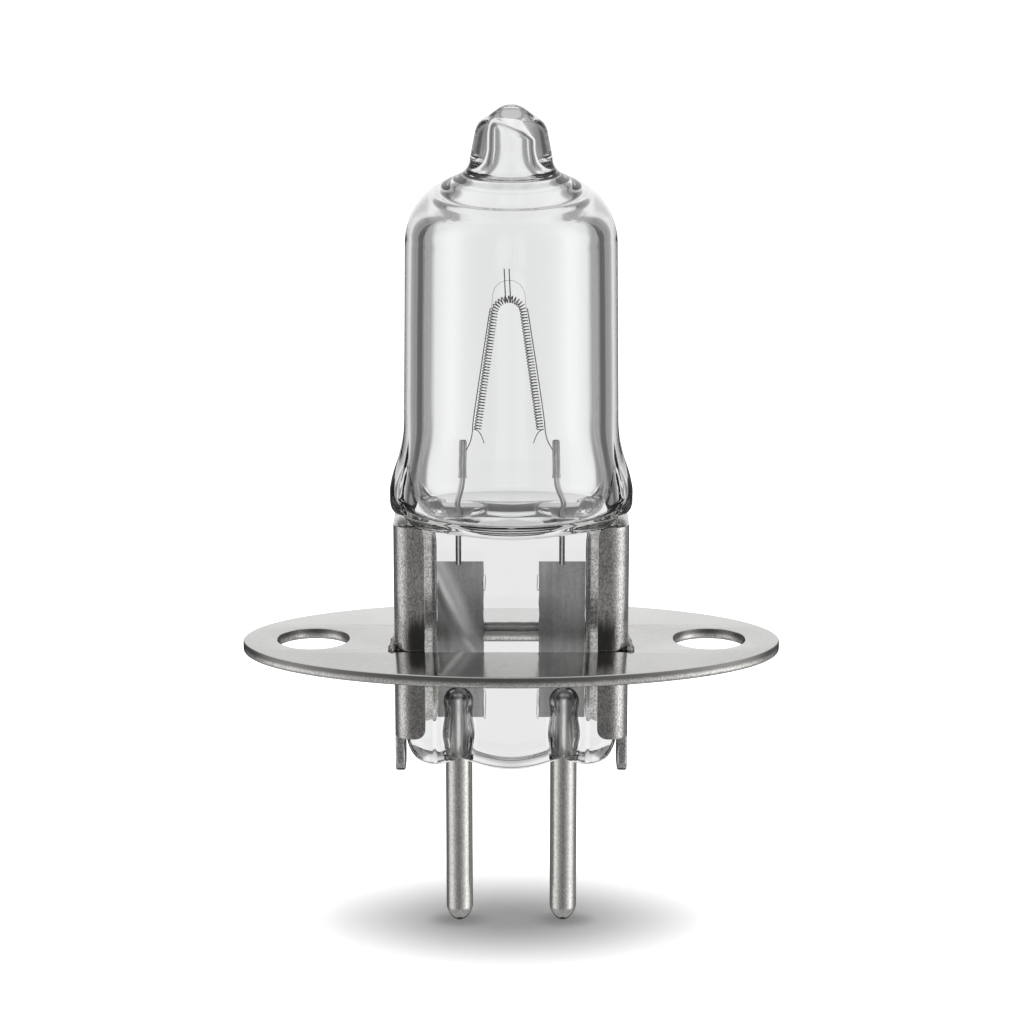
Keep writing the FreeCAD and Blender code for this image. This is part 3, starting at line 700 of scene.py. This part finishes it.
def hollowRings():
    angles = fullTurn(hollow["around"])
    radius = glass["footRadius"] - hollow["wall"]
    shoulder = (glass["shoulderRadius"] - hollow["wall"], glass["shoulderZ"] - hollow["shoulderDrop"])
    profile = domeProfile(hollow, (radius, glass["footZ"]), shoulder, hollow["boreRadius"])
    profile = [(r, z + ceilingRing(r, z)) for r, z in profile]
    endRound = hollow["boreEndRound"]
    centre = (hollow["boreRadius"] - endRound, hollow["boreTopZ"] - endRound)
    profile += arcPoints(centre, endRound, 0, pi / 2, 8)
    profile.append((0.0, hollow["boreTopZ"]))
    rings = [[(x, y, z + boreTilt(x, y, z)) for x, y in ovalRing(r, r, 2.0, angles)]
             for r, z in reversed(profile)]
    for step in range(1, hollow["rollRings"] + 1):
        share = sin(pi / 2 * step / hollow["rollRings"])
        width = flaredWidth(share, radius, hollow["widest"], hollow["rimHalfWidth"])
        depth = mix(hollow["rimHalfDepth"], radius, max(0.0, 1 - share ** 2) ** hollow["rollPower"])
        z = mix(glass["footZ"], hollow["rimZ"], share)
        rings.append([(x, y, z) for x, y in ovalRing(width, depth, 2.0, angles)])
    last = rings[-1]
    for step in range(1, hollow["floorRings"] + 1):
        scale = 1 - step / hollow["floorRings"]
        rings.append([(x * scale, y * scale, z - floorDrop(x * scale, y * scale, scale)) for x, y, z in last])
    return rings


def ceilingRing(radius, z):
    # Where the exhaust tube was joined the ceiling is raised in a ring, with small ripples round it
    rise = hollow["ringRise"] * exp(-((radius - hollow["ringX"]) / hollow["ringHalf"]) ** 2)
    share = (radius - hollow["rippleFrom"]) / (hollow["rippleTo"] - hollow["rippleFrom"])
    if 0 < share < 1:
        turns = (radius - hollow["rippleFrom"]) / hollow["rippleLength"]
        rise += hollow["ripple"] * sin(2 * pi * turns) * sin(pi * share)
    return rise * smoothMix(hollow["ringFrom"], hollow["ringFull"], z)


def boreTilt(x, y, z):
    # The sealed end of the bore is skewed
    share = smoothMix(hollow["boreTopZ"] - 0.7, hollow["boreTopZ"] - 0.1, z)
    return share * (hollow["boreTiltX"] * x + hollow["boreTiltY"] * y)


def floorDrop(x, y, scale):
    # The hollow's floor: a low hump across the middle, with a dimple in front of each lead
    drop = -hollow["hump"] * (1 - scale ** 2) * exp(-(y / hollow["humpHalf"]) ** 2)
    for side in sides.values():
        away = hypot((x - side * hollow["dimpleX"]) / hollow["dimpleHalfX"],
                          (y - hollow["dimpleY"]) / hollow["dimpleHalfY"])
        drop += hollow["dimpleDepth"] * max(0.0, 1 - away * away) ** hollow["dimplePower"]
    return drop


def joinInside(outer, *linings):
    # Adds inner surfaces to a solid, turned so that they face into the hollow
    work = bmesh.new()
    work.from_mesh(outer.data)
    for lining in linings:
        for face in lining.data.polygons:
            face.flip()
        work.from_mesh(lining.data)
        bpy.data.objects.remove(lining)
    work.to_mesh(outer.data)
    work.free()


# Gas bubbles in the glass beside the foils, as a height and half a length each
bubbles = {"x": 1.02, "halfX": 0.065, "halfY": 0.03,
           "places": {"upper": (2.75, 0.34), "lower": (-2.05, 0.60)}}

# The pocket round each outer lead: the middle of its rounded cap, a waist, a barrel and its foot, as heights
# and radii
pocket = {"x": 2.0, "levels": ((-1.89, 0.53), (-2.40, 0.465), (-3.22, 0.54), (-3.80, 0.465)), "around": 64}


def pocketRadius(z):
    highZ, high = pocket["levels"][0]
    if z > highZ:
        return high * sqrt(max(0.0, 1 - ((z - highZ) / high) ** 2))
    for lowZ, low in pocket["levels"][1:]:
        if z > lowZ:
            return mix(high, low, smoothMix(highZ, lowZ, z))
        highZ, high = lowZ, low
    return high


def pocketPiece(name, x, material):
    low = pocket["levels"][-1][0]
    top = sum(pocket["levels"][0])
    heights = [mix(low, top, sin(pi / 2 * step / 60)) for step in range(61)]
    profile = [(0.0, low)] + [(pocketRadius(z), z) for z in heights]
    return lathePiece(name, profile, pocket["around"], x, material, 60.0)


def bubblePiece(name, x, z, halfZ, material):
    # Flat pocket of gas beside a foil's inner edge
    profile = arcPoints((0, 0), 1.0, -pi / 2, pi / 2, 13)
    points, faces = lathe(profile, 24)
    placed = []
    for px, py, pz in points:
        sway = 0.2 * bubbles["halfX"] * sin(3 * pz + x)
        placed.append((x + px * bubbles["halfX"] + sway, py * bubbles["halfY"], z + pz * halfZ))
    return meshPiece(name, placed, faces, material)


def buildGlass():
    quartz = quartzMaterial()
    outer = outerRings()
    points = [p for ring in outer for p in ring]
    envelope = meshPiece("glassEnvelope", points, ringFaces(len(outer), glass["around"]), quartz, 40.0)
    inner = hollowRings()
    points = [p for ring in inner for p in ring]
    linings = [meshPiece("hollowLining", points, ringFaces(len(inner), hollow["around"]), quartz, 60.0)]
    for name, side in sides.items():
        for level, (z, halfZ) in bubbles["places"].items():
            x = side * bubbles["x"]
            linings.append(bubblePiece(level + name.title() + "Bubble", x, z, halfZ, quartz))
        linings.append(pocketPiece("pocket" + name.title(), side * pocket["x"], quartz))
    joinInside(envelope, *linings)
    settle(envelope, "quartz_glass", "quartz_envelope")
    print("glass built:", len(envelope.data.polygons), "faces")


# Stamped sheet pieces: outlines with rounded edges, laid flat and then turned into place
def stampedMesh(name, outlines, low, high, lowRound, highRound, material, sharpDeg=35.0):
    # Each outline is a function of an inset that gives the same number of points every time
    quarter = [pi / 8 * step for step in range(5)]
    profile = [(lowRound * (1 - sin(t)), low + lowRound * (1 - cos(t))) for t in quarter]
    profile += [(highRound * (1 - cos(t)), high - highRound * (1 - sin(t))) for t in quarter]
    points = []
    faces = []
    for outline in outlines:
        first = len(points)
        count = len(outline(0.0))
        for inset, z in profile:
            points += [(x, y, z) for x, y in outline(inset)]
        faces += ringFaces(len(profile), count, first)
    for inset, z in (profile[0], profile[-1]):
        loops = [[Vector((x, y, z)) for x, y in outline(inset)] for outline in outlines]
        first = len(points)
        points += [tuple(point) for loop in loops for point in loop]
        faces += [tuple(first + corner for corner in face) for face in geometry.tessellate_polygon(loops)]
    return meshPiece(name, points, faces, material, sharpDeg)


def ovalOutline(halfX, halfY, count):
    def outline(inset):
        places = []
        for turn in fullTurn(count):
            x, y = cos(turn), sin(turn)
            normal = Vector((x / halfX, y / halfY)).normalized()
            places.append((halfX * x - normal.x * inset, halfY * y - normal.y * inset))
        return places
    return outline


def holeOutline(x, radius, count):
    def outline(inset):
        return [(x + (radius + inset) * cos(t), (radius + inset) * sin(t)) for t in fullTurn(count)]
    return outline


def boxOutline(low, high, corner, outward, count=8):
    # Rounded rectangle. outward is 1 for a piece and -1 for an opening.
    def outline(inset):
        places = []
        radius = max(0.01, corner - inset * outward)
        for signX, signY, start in ((1, 1, 0), (-1, 1, 90), (-1, -1, 180), (1, -1, 270)):
            centreX = (high[0] - corner) if signX > 0 else (low[0] + corner)
            centreY = (high[1] - corner) if signY > 0 else (low[1] + corner)
            begin = radians(start)
            places += arcPoints((centreX, centreY), radius, begin, begin + pi / 2, count)
        return places
    return outline


plate = {"topRound": 0.07, "underRound": 0.13, "holeX": 7.5, "holeRadius": 1.35, "slotGap": 0.05,
         "slotCorner": 0.3, "lipRadius": 0.17, "lipReach": 3.0}


def buildPlate(surface, rim):
    low, high = boxOf("mounting_plate")
    clipHigh = boxOf("seal_clip_right")[1]
    slotX = clipHigh[0] + plate["slotGap"]
    slotY = clipHigh[1] + plate["slotGap"]
    outlines = [ovalOutline(high[0], high[1], 256),
                boxOutline((-slotX, -slotY), (slotX, slotY), plate["slotCorner"], -1)]
    outlines += [holeOutline(side * plate["holeX"], plate["holeRadius"], 96) for side in sides.values()]
    piece = stampedMesh("mountingPlate", outlines, low[2], high[2], plate["underRound"],
                        plate["topRound"], surface)
    piece.data.materials.append(rim)
    for face in piece.data.polygons:
        face.material_index = int(abs(face.normal.z) < 0.8)
    settle(piece, "plate_steel", "mounting_plate")
    lift = plate["lipRadius"] * 0.9
    places = [(x * plate["lipReach"], slotY + lift, high[2] + lift) for x in (-1, -0.5, 0, 0.5, 1)]
    lip = wirePiece("slotLip", places, plate["lipRadius"], rim, 3, 12)
    roughen(lip, 0.02, 3.0)
    settle(lip, "plate_steel")
    print("plate built")


def roughen(piece, amount, scale):
    # Small lumps on a mesh, the same each run
    for vertex in piece.data.vertices:
        place = vertex.co / mm * scale
        vertex.co += vertex.normal * noise.noise(place) * amount * mm


clip = {"bend": 0.68, "sheet": 0.39, "frontFlange": 1.16, "rearFlange": 1.46, "corner": 0.38,
        "bottomZ": -3.03, "topZ": 5.19, "tabHalf": 0.75, "tabRound": 0.45, "tabInset": 0.03, "tabEdge": 0.08,
        "tabOverlap": 0.6, "edgeRound": 0.10, "rows": 24}


def clipPath(side):
    # Plan of the clip's outer face, from the front flange's tip round to the rear
    outX, outY = boxOf("seal_clip_right")[1][:2]
    bend = clip["bend"]
    flat = outX - bend
    front = outX - clip["frontFlange"]
    rear = outX - clip["rearFlange"]
    shares = [(step / 10) ** 2 for step in range(10)]
    path = [(mix(front, flat, share), -outY) for share in shares]
    path += arcPoints((flat, bend - outY), bend, -pi / 2, 0, 9)
    path += [(outX, (bend - outY) * (1 - 2 * share)) for share in (0.25, 0.5, 0.75)]
    path += arcPoints((flat, outY - bend), bend, 0, pi / 2, 9)
    path += [(mix(flat, rear, 1 - share), outY) for share in reversed(shares)]
    return [(side * x, y) for x, y in path]


def buildClips(material):
    for name, side in sides.items():
        path = clipPath(side)
        points = []
        for x, y in path:
            tip = abs(path[0][0]) if y < 0 else abs(path[-1][0])
            near = max(0.0, clip["corner"] - (abs(x) - tip))
            lift = clip["corner"] - sqrt(max(0.0, clip["corner"] ** 2 - near ** 2))
            low = clip["bottomZ"] + lift
            high = clip["topZ"] - lift
            points += [(x, y, mix(low, high, row / clip["rows"])) for row in range(clip["rows"] + 1)]
        rows = clip["rows"] + 1
        faces = [(c * rows + r, (c + 1) * rows + r, (c + 1) * rows + r + 1, c * rows + r + 1)
                 for c in range(len(path) - 1) for r in range(clip["rows"])]
        if side > 0:
            faces = [face[::-1] for face in faces]
        sheet = meshPiece("clipSheet" + name.title(), points, faces, material)
        outward = sheet.data.polygons[len(sheet.data.polygons) // 2].normal.x * side
        thick = sheet.modifiers.new("thickness", "SOLIDIFY")
        thick.thickness = clip["sheet"] * mm
        thick.offset = -1.0 if outward > 0 else 1.0
        edges = sheet.modifiers.new("edges", "BEVEL")
        edges.width = clip["edgeRound"] * mm
        edges.segments = 3
        edges.limit_method = "ANGLE"
        edges.angle_limit = radians(50)
        mesh = evaluatedMesh(sheet, "sealClip" + name.title())
        tab = buildTab(name, side, material)
        refine(mesh, 40.0, others=(tab.data,))
        bpy.data.objects.remove(tab)
        settle(addPiece("sealClip" + name.title(), mesh, material), "clip_steel", "seal_clip_" + name)
    print("clips built")


def buildTab(name, side, material):
    # The tab under the clip's web, stamped flat in Y and Z and stood up
    low, high = boxOf("seal_clip_right")
    half = clip["tabHalf"]
    outline = boxOutline((-half, low[2]), (half, clip["bottomZ"] + clip["tabOverlap"]), clip["tabRound"], 1)
    webLow = high[0] - clip["sheet"] + clip["tabInset"]
    webHigh = high[0] + clip["tabInset"] * 0.5
    tab = stampedMesh("clipTab" + name.title(), [outline], webLow, webHigh, clip["tabEdge"], clip["tabEdge"],
                      material)
    turn = Matrix(((0, 0, side, 0), (1, 0, 0, 0), (0, 1, 0, 0), (0, 0, 0, 1)))
    tab.data.transform(turn)
    return tab


# The bead swells to its blob between the two shares of its length
weld = {"frontY": -1.75, "rearY": 0.10, "radius": 0.10, "blob": 0.19, "swell": (0.55, 0.9), "shiftX": 0.06,
        "lift": 0.04, "lumps": 0.05, "rings": 25, "around": 16}


def buildWelds(material):
    for name, side in sides.items():
        low, high = boxOf("tack_weld_" + name)
        inner = high[0] if side < 0 else low[0]
        points = []
        for ring in range(weld["rings"]):
            share = ring / (weld["rings"] - 1)
            y = mix(weld["rearY"], weld["frontY"], share)
            end = sin(pi * share) ** 0.35 if 0 < share < 1 else 0.0
            radius = mix(weld["radius"], weld["blob"], smoothMix(*weld["swell"], share)) * end
            points += [(inner + side * (weld["shiftX"] + radius * cos(turn)), y,
                        low[2] + weld["lift"] + radius * sin(turn)) for turn in fullTurn(weld["around"])]
        faces = ringFaces(weld["rings"], weld["around"])
        piece = meshPiece("tackWeld" + name.title(), points, faces, material)
        roughen(piece, weld["lumps"], 5.0)
        settle(piece, "weld_steel", "tack_weld_" + name)
    print("welds built")


# Contact pins and the leads above them
pin = {"endRadius": 0.15, "endRound": 0.02, "drop": 0.08, "bullet": 0.60, "fullness": 1.7, "fullRoot": 1.3,
       "around": 64, "topRound": 0.05, "topLift": 0.20}


def buildPins(material):
    for name in sides:
        node = "contact_pin_" + name
        low, high = boxOf(node)
        radius = (high[0] - low[0]) / 2
        endZ = low[2] - pin["drop"]
        topZ = high[2] + pin["topLift"]
        profile = [(0.0, endZ + pin["endRound"]), (pin["endRadius"] * 0.6, endZ)]
        for step in range(17):
            share = 1 - sin(pi / 2 * step / 16)
            full = (1 - share ** pin["fullness"]) ** (1 / pin["fullRoot"])
            z = mix(endZ + pin["bullet"], endZ + pin["endRound"], share)
            profile.append((mix(pin["endRadius"], radius, full), z))
        straight = topZ - pin["topRound"] - endZ - pin["bullet"]
        profile += [(radius, endZ + pin["bullet"] + straight * s / 12) for s in range(1, 13)]
        profile += arcPoints((radius - pin["topRound"], topZ - pin["topRound"]), pin["topRound"], 0.0,
                             pi / 2, 5)[1:]
        profile.append((0.0, topZ))
        piece = lathePiece("contactPin" + name.title(), profile, pin["around"], middleX(node), material)
        settle(piece, "pin_nickel", node)
    print("pins built")


outerLead = {"radius": 0.40, "weldRadius": 0.43, "swellFrom": -2.6, "swellTo": -3.6, "topZ": -1.50,
             "around": 48}


def buildOuterLeads(material):
    # Rounded at the top, thickening to the weld on the pin
    for name in sides:
        node = "outer_lead_" + name
        footZ = boxOf(node)[0][2]
        radius = outerLead["radius"]
        capZ = outerLead["topZ"] - radius
        profile = [(0.0, footZ), (outerLead["weldRadius"], footZ)]
        for step in range(1, 25):
            z = mix(footZ, capZ, step / 24)
            swell = smoothMix(outerLead["swellTo"], outerLead["swellFrom"], z)
            profile.append((mix(outerLead["weldRadius"], radius, swell), z))
        profile += arcPoints((0, capZ), radius, 0, pi / 2, 8)[1:]
        piece = lathePiece("outerLead" + name.title(), profile, outerLead["around"], middleX(node), material)
        settle(piece, "lead_molybdenum", node)
    print("outer leads built")


innerLead = {"vLength": 0.12, "footX": {"left": -1.98, "right": 1.90}, "radius": 0.105, "glassTopZ": 5.3,
             "bowX": {"left": 0.10, "right": 0.15}, "bowZ": 5.62, "kneeZ": 6.45}
sleeve = {"flare": 0.02, "flareLength": 0.12, "around": 24, "shiftX": {"left": -0.07, "right": 0.12}}


def buildInnerLeads(material, sleeveMaterial):
    for name, side in sides.items():
        foilTop = boxOf("sealing_foil_" + name)[1][2]
        low, high = boxOf("post_sleeve_" + name)
        footX = innerLead["footX"][name]
        postX = middleX("post_sleeve_" + name) + sleeve["shiftX"][name]
        line = [(footX, foilTop - innerLead["vLength"]), (footX, foilTop + 0.4),
                (footX, innerLead["glassTopZ"] - 0.3), (footX, innerLead["glassTopZ"]),
                (footX + side * innerLead["bowX"][name], innerLead["bowZ"]),
                (postX + side * 0.04, innerLead["kneeZ"]), (postX, innerLead["kneeZ"] + 0.4),
                (postX, low[2] + 0.1), (postX, high[2] - 0.02)]
        radius = innerLead["radius"]
        lead = wirePiece("innerLead" + name.title(), line, radius, material, 3, 16)
        settle(lead, "lead_molybdenum", "inner_lead_" + name)
        outer = (high[0] - low[0]) / 2
        profile = [(radius, low[2]), (outer + sleeve["flare"], low[2])]
        profile += [(outer + sleeve["flare"] * (1 - s / 4), low[2] + sleeve["flareLength"] * s / 4)
                    for s in range(1, 5)]
        profile += [(outer, high[2] - 0.05), (outer - 0.02, high[2]), (radius, high[2])]
        tube = lathePiece("postSleeve" + name.title(), profile, sleeve["around"], postX, sleeveMaterial, 45.0)
        settle(tube, "lead_molybdenum", "post_sleeve_" + name)
    print("inner leads and sleeves built")


# Sealing foils: thin sheets with a slight wave, a notched edge and a crease
foil = {"columns": 24, "rows": 80, "wave": 0.006, "edgeNick": 0.03, "dentDepth": 0.05, "dentX": -1.45,
        "dentSlope": 0.45, "dentHalf": 0.3, "dentZ": (-1.0, 0.6)}


def buildFoils():
    for name, side in sides.items():
        low, high = boxOf("sealing_foil_" + name)
        material = foilMaterial("foilMetal" + name.title(), name == "left")
        columns = list(range(foil["columns"] + 1))
        around = [(column, -1) for column in columns] + [(column, 1) for column in reversed(columns)]
        points = [foilPoint(low, high, column, row, face, side)
                  for row in range(foil["rows"] + 1) for column, face in around]
        faces = ringFaces(foil["rows"] + 1, len(around))
        for end in (0, foil["rows"] * len(around)):
            rear = end + len(around) - 1
            faces += [(end + c, end + c + 1, rear - c - 1, rear - c) for c in range(foil["columns"])]
        piece = meshPiece("sealingFoil" + name.title(), points, faces, material, 50.0)
        settle(piece, "foil_molybdenum", "sealing_foil_" + name)
    print("foils built")


def foilPoint(low, high, column, row, face, side):
    across = column / foil["columns"]
    z = mix(low[2], high[2], row / foil["rows"])
    nick = foil["edgeNick"] * noise.noise(Vector((side * 3.0, 0.0, z * 2.3)))
    x = mix(low[0], high[0], across) + nick * (2 * across - 1)
    wave = foil["wave"] * noise.noise(Vector((x * 1.5, side * 5.0, z * 0.8)))
    dent = 0.0
    if side < 0:
        off = (x - foil["dentX"] + foil["dentSlope"] * z) / foil["dentHalf"]
        dent = foil["dentDepth"] * exp(-off ** 2) * smoothMix(*foil["dentZ"], z)
    return (x, face * high[1] + wave - dent, z)


# Filament: a fine wire wound along an inverted V by Geometry Nodes. A tail is a row of steps inward and up.
filament = {"apexZ": 13.49, "archRadius": 0.54, "legLength": 4.5, "slopeDeg": 8.1, "shiftX": -0.09,
            "coilRadius": 0.125, "wireRadius": 0.020, "pitch": 0.112, "stepsPerTurn": 12, "wireSides": 6,
            "tailRadius": 0.017, "tail": ((0.0, 0.02), (0.16, 0.0), (0.28, -0.16), (0.37, -0.50))}


def filamentPath():
    slope = radians(filament["slopeDeg"])
    radius = filament["archRadius"]
    centreZ = filament["apexZ"] - radius
    arch = arcPoints((filament["shiftX"], centreZ), radius, pi - slope, slope, 24)
    leg = filament["legLength"]
    leftEnd = (arch[0][0] - sin(slope) * leg, arch[0][1] - cos(slope) * leg)
    rightEnd = (arch[-1][0] + sin(slope) * leg, arch[-1][1] - cos(slope) * leg)
    return [leftEnd] + arch + [rightEnd]


def coilTree(material):
    group = bpy.data.node_groups.new("windCoil", "GeometryNodeTree")
    face = group.interface
    face.new_socket(name="Geometry", in_out="INPUT", socket_type="NodeSocketGeometry")
    sizes = {name: face.new_socket(name=name, in_out="INPUT", socket_type="NodeSocketFloat")
             for name in ("Coil Radius", "Wire Radius", "Pitch", "Step Length")}
    face.new_socket(name="Geometry", in_out="OUTPUT", socket_type="NodeSocketGeometry")
    nodes = group.nodes

    def add(kind, settings=None, values=None):
        made = nodes.new(kind)
        for name, value in (settings or {}).items():
            setattr(made, name, value)
        for place, value in (values or {}).items():
            if isinstance(value, bpy.types.NodeSocket):
                group.links.new(value, made.inputs[place])
            else:
                made.inputs[place].default_value = value
        return made

    def maths(operation, *terms):
        return add("ShaderNodeMath", {"operation": operation}, dict(enumerate(terms))).outputs[0]

    def vector(operation, first, other, place=1):
        return add("ShaderNodeVectorMath", {"operation": operation}, {0: first, place: other}).outputs[0]

    start = add("NodeGroupInput")
    line = add("GeometryNodeResampleCurve", {"mode": "LENGTH"},
               {"Curve": start.outputs["Geometry"], "Length": start.outputs["Step Length"]})
    run = add("GeometryNodeSplineParameter").outputs["Length"]
    angle = maths("MULTIPLY", maths("DIVIDE", run, start.outputs["Pitch"]), 2 * pi)
    along = add("GeometryNodeInputTangent").outputs[0]
    depth = add("ShaderNodeCombineXYZ", values={"Y": 1.0}).outputs[0]
    across = vector("CROSS_PRODUCT", along, depth)
    around = vector("ADD", vector("SCALE", across, maths("COSINE", angle), "Scale"),
                    vector("SCALE", depth, maths("SINE", angle), "Scale"))
    offset = vector("SCALE", around, start.outputs["Coil Radius"], "Scale")
    wound = add("GeometryNodeSetPosition", values={"Geometry": line.outputs[0], "Offset": offset})
    ring = add("GeometryNodeCurvePrimitiveCircle",
               values={"Resolution": filament["wireSides"], "Radius": start.outputs["Wire Radius"]})
    wire = add("GeometryNodeCurveToMesh",
               values={"Curve": wound.outputs[0], "Profile Curve": ring.outputs[0], "Fill Caps": True})
    real = add("GeometryNodeRealizeInstances", values={"Geometry": wire.outputs[0]})
    coated = add("GeometryNodeSetMaterial", values={"Geometry": real.outputs[0], "Material": material})
    add("NodeGroupOutput", values={"Geometry": coated.outputs[0]})
    return group, sizes


def buildFilament(material):
    path = filamentPath()
    line = lineObject("filamentLine", "POLY", [inDepth(place) for place in path])
    group, sizes = coilTree(material)
    winding = line.modifiers.new("winding", "NODES")
    winding.node_group = group
    chosen = {"Coil Radius": filament["coilRadius"], "Wire Radius": filament["wireRadius"],
              "Pitch": filament["pitch"], "Step Length": filament["pitch"] / filament["stepsPerTurn"]}
    for name, value in chosen.items():
        winding[sizes[name].identifier] = value * mm
    mesh = evaluatedMesh(line, "filamentCoil")
    refine(mesh, 60.0)
    settle(addPiece("filamentCoil", mesh, material), "filament_tungsten", "filament_coil")
    for name, side in sides.items():
        endX, endZ = path[0] if side < 0 else path[-1]
        places = [(endX + side * (filament["coilRadius"] - inward), endZ + rise)
                  for inward, rise in filament["tail"]]
        tail = wirePiece("coilTail" + name.title(), places, filament["tailRadius"], material, 4)
        settle(tail, "filament_tungsten")
    print("filament wound:", len(mesh.polygons), "faces")


# footDrop and endDrop are where a side wire meets its sleeve, below the sleeve's top
fineWires = {"sideRadius": 0.021, "sideGap": 0.03, "sideRise": 0.10, "footDrop": 0.30, "endDrop": 0.38,
             "loopRadius": 0.007, "loopReach": 0.60, "stayRadius": 0.024}


def buildFineWires(material):
    slope = radians(filament["slopeDeg"])
    path = filamentPath()
    for name, side in sides.items():
        bend = Vector(path[1] if side < 0 else path[-2])
        foot = Vector(path[0] if side < 0 else path[-1])
        outward = Vector((side * cos(slope), sin(slope)))
        reach = filament["coilRadius"] + filament["wireRadius"] + fineWires["sideGap"]
        sleeveLow, sleeveHigh = boxOf("post_sleeve_" + name)
        face = (sleeveHigh[0] if side < 0 else sleeveLow[0]) + sleeve["shiftX"][name]
        top = bend + outward * reach
        low = foot + outward * reach
        line = [(top.x - side * 0.03, top.y + fineWires["sideRise"]), (top.x, top.y),
                (low.x, low.y + 0.3), (low.x, low.y), (mix(low.x, face, 0.3), sleeveHigh[2]),
                (face - side * 0.03, sleeveHigh[2] - fineWires["footDrop"]),
                (face + side * 0.02, sleeveHigh[2] - fineWires["endDrop"])]
        wire = wirePiece("sideWire" + name.title(), line, fineWires["sideRadius"], material)
        settle(wire, "filament_tungsten", "side_wire_" + name)
        low, high = boxOf("stay_wire_" + name)
        x = middleX("stay_wire_" + name)
        y = (low[1] + high[1]) / 2
        places = [(x + 0.05, y, low[2] + 0.02), (x + 0.02, y, low[2] + 0.5), (x - 0.01, y, high[2])]
        stay = wirePiece("stayWire" + name.title(), places, fineWires["stayRadius"], material)
        settle(stay, "filament_tungsten", "stay_wire_" + name)
    low, high = boxOf("hairline_loop")
    middle = middleX("hairline_loop")
    reach = fineWires["loopReach"]
    line = arcPoints((middle, high[2] - reach), reach, 0, pi, 13)
    line.insert(0, (middle + reach + 0.04, low[2] + 0.02))
    line.append((middle - reach - 0.04, low[2] + 0.02))
    loop = wirePiece("hairlineLoop", line, fineWires["loopRadius"], material)
    settle(loop, "filament_tungsten", "hairline_loop")
    print("fine wires built")


# Floor, lamp and camera
def buildFloor():
    z = boxOf("contact_pin_left")[0][2] - pin["drop"]
    half = floorLook["size"] / 2
    corners = [(-half, -half, z), (half, -half, z), (half, half, z), (-half, half, z)]
    floor = meshPiece("floor", corners, [(0, 1, 2, 3)], floorMaterial())
    floor.visible_glossy = False
    floor.visible_transmission = False


softbox = {"height": 150.0, "size": 120.0, "level": 4.4}


def buildLamp():
    data = bpy.data.lights.new("softbox", "AREA")
    data.shape = "SQUARE"
    data.size = softbox["size"] * mm
    data.energy = softbox["level"] * pi * data.size ** 2
    made = linked("softbox", data)
    made.location = (0, 0, softbox["height"] * mm)
    made.rotation_euler = (-made.location).to_track_quat("-Z", "Y").to_euler()
    made.visible_glossy = False
    made.visible_transmission = False


camera = {"distance": 105.0, "pitchDeg": 14.2, "targetZ": 5.38, "focalPixels": 2801.0, "pixels": 1024,
          "targetPixelX": 511.27, "sensor": 36.0, "near": 5.0, "far": 10000.0}


def buildCamera():
    pitch = radians(camera["pitchDeg"])
    data = bpy.data.cameras.new("camera")
    data.sensor_width = camera["sensor"]
    data.lens = camera["focalPixels"] / camera["pixels"] * camera["sensor"]
    data.shift_x = (camera["pixels"] / 2 - camera["targetPixelX"]) / camera["pixels"]
    data.clip_start = camera["near"] * mm
    data.clip_end = camera["far"] * mm
    made = linked("camera", data)
    reach = camera["distance"] * mm
    made.location = (0, -reach * cos(pitch), camera["targetZ"] * mm + reach * sin(pitch))
    made.rotation_euler = (pi / 2 - pitch, 0, 0)
    bpy.context.scene.camera = made


metals = {name: metalMaterial(name) for name in finishes}
buildGlass()
buildPlate(metals["plateSteel"], metals["rimSteel"])
buildClips(metals["clipSteel"])
buildWelds(metals["weldSteel"])
buildPins(metals["pinNickel"])
buildOuterLeads(metals["leadMetal"])
buildInnerLeads(metals["leadMetal"], metals["sleeveMetal"])
buildFoils()
buildFilament(metals["tungsten"])
buildFineWires(metals["tungsten"])
buildFloor()
buildLamp()
buildStudio()
buildCamera()
print("studio, lamp and camera set")

bpy.context.scene.view_settings.view_transform = "Standard"
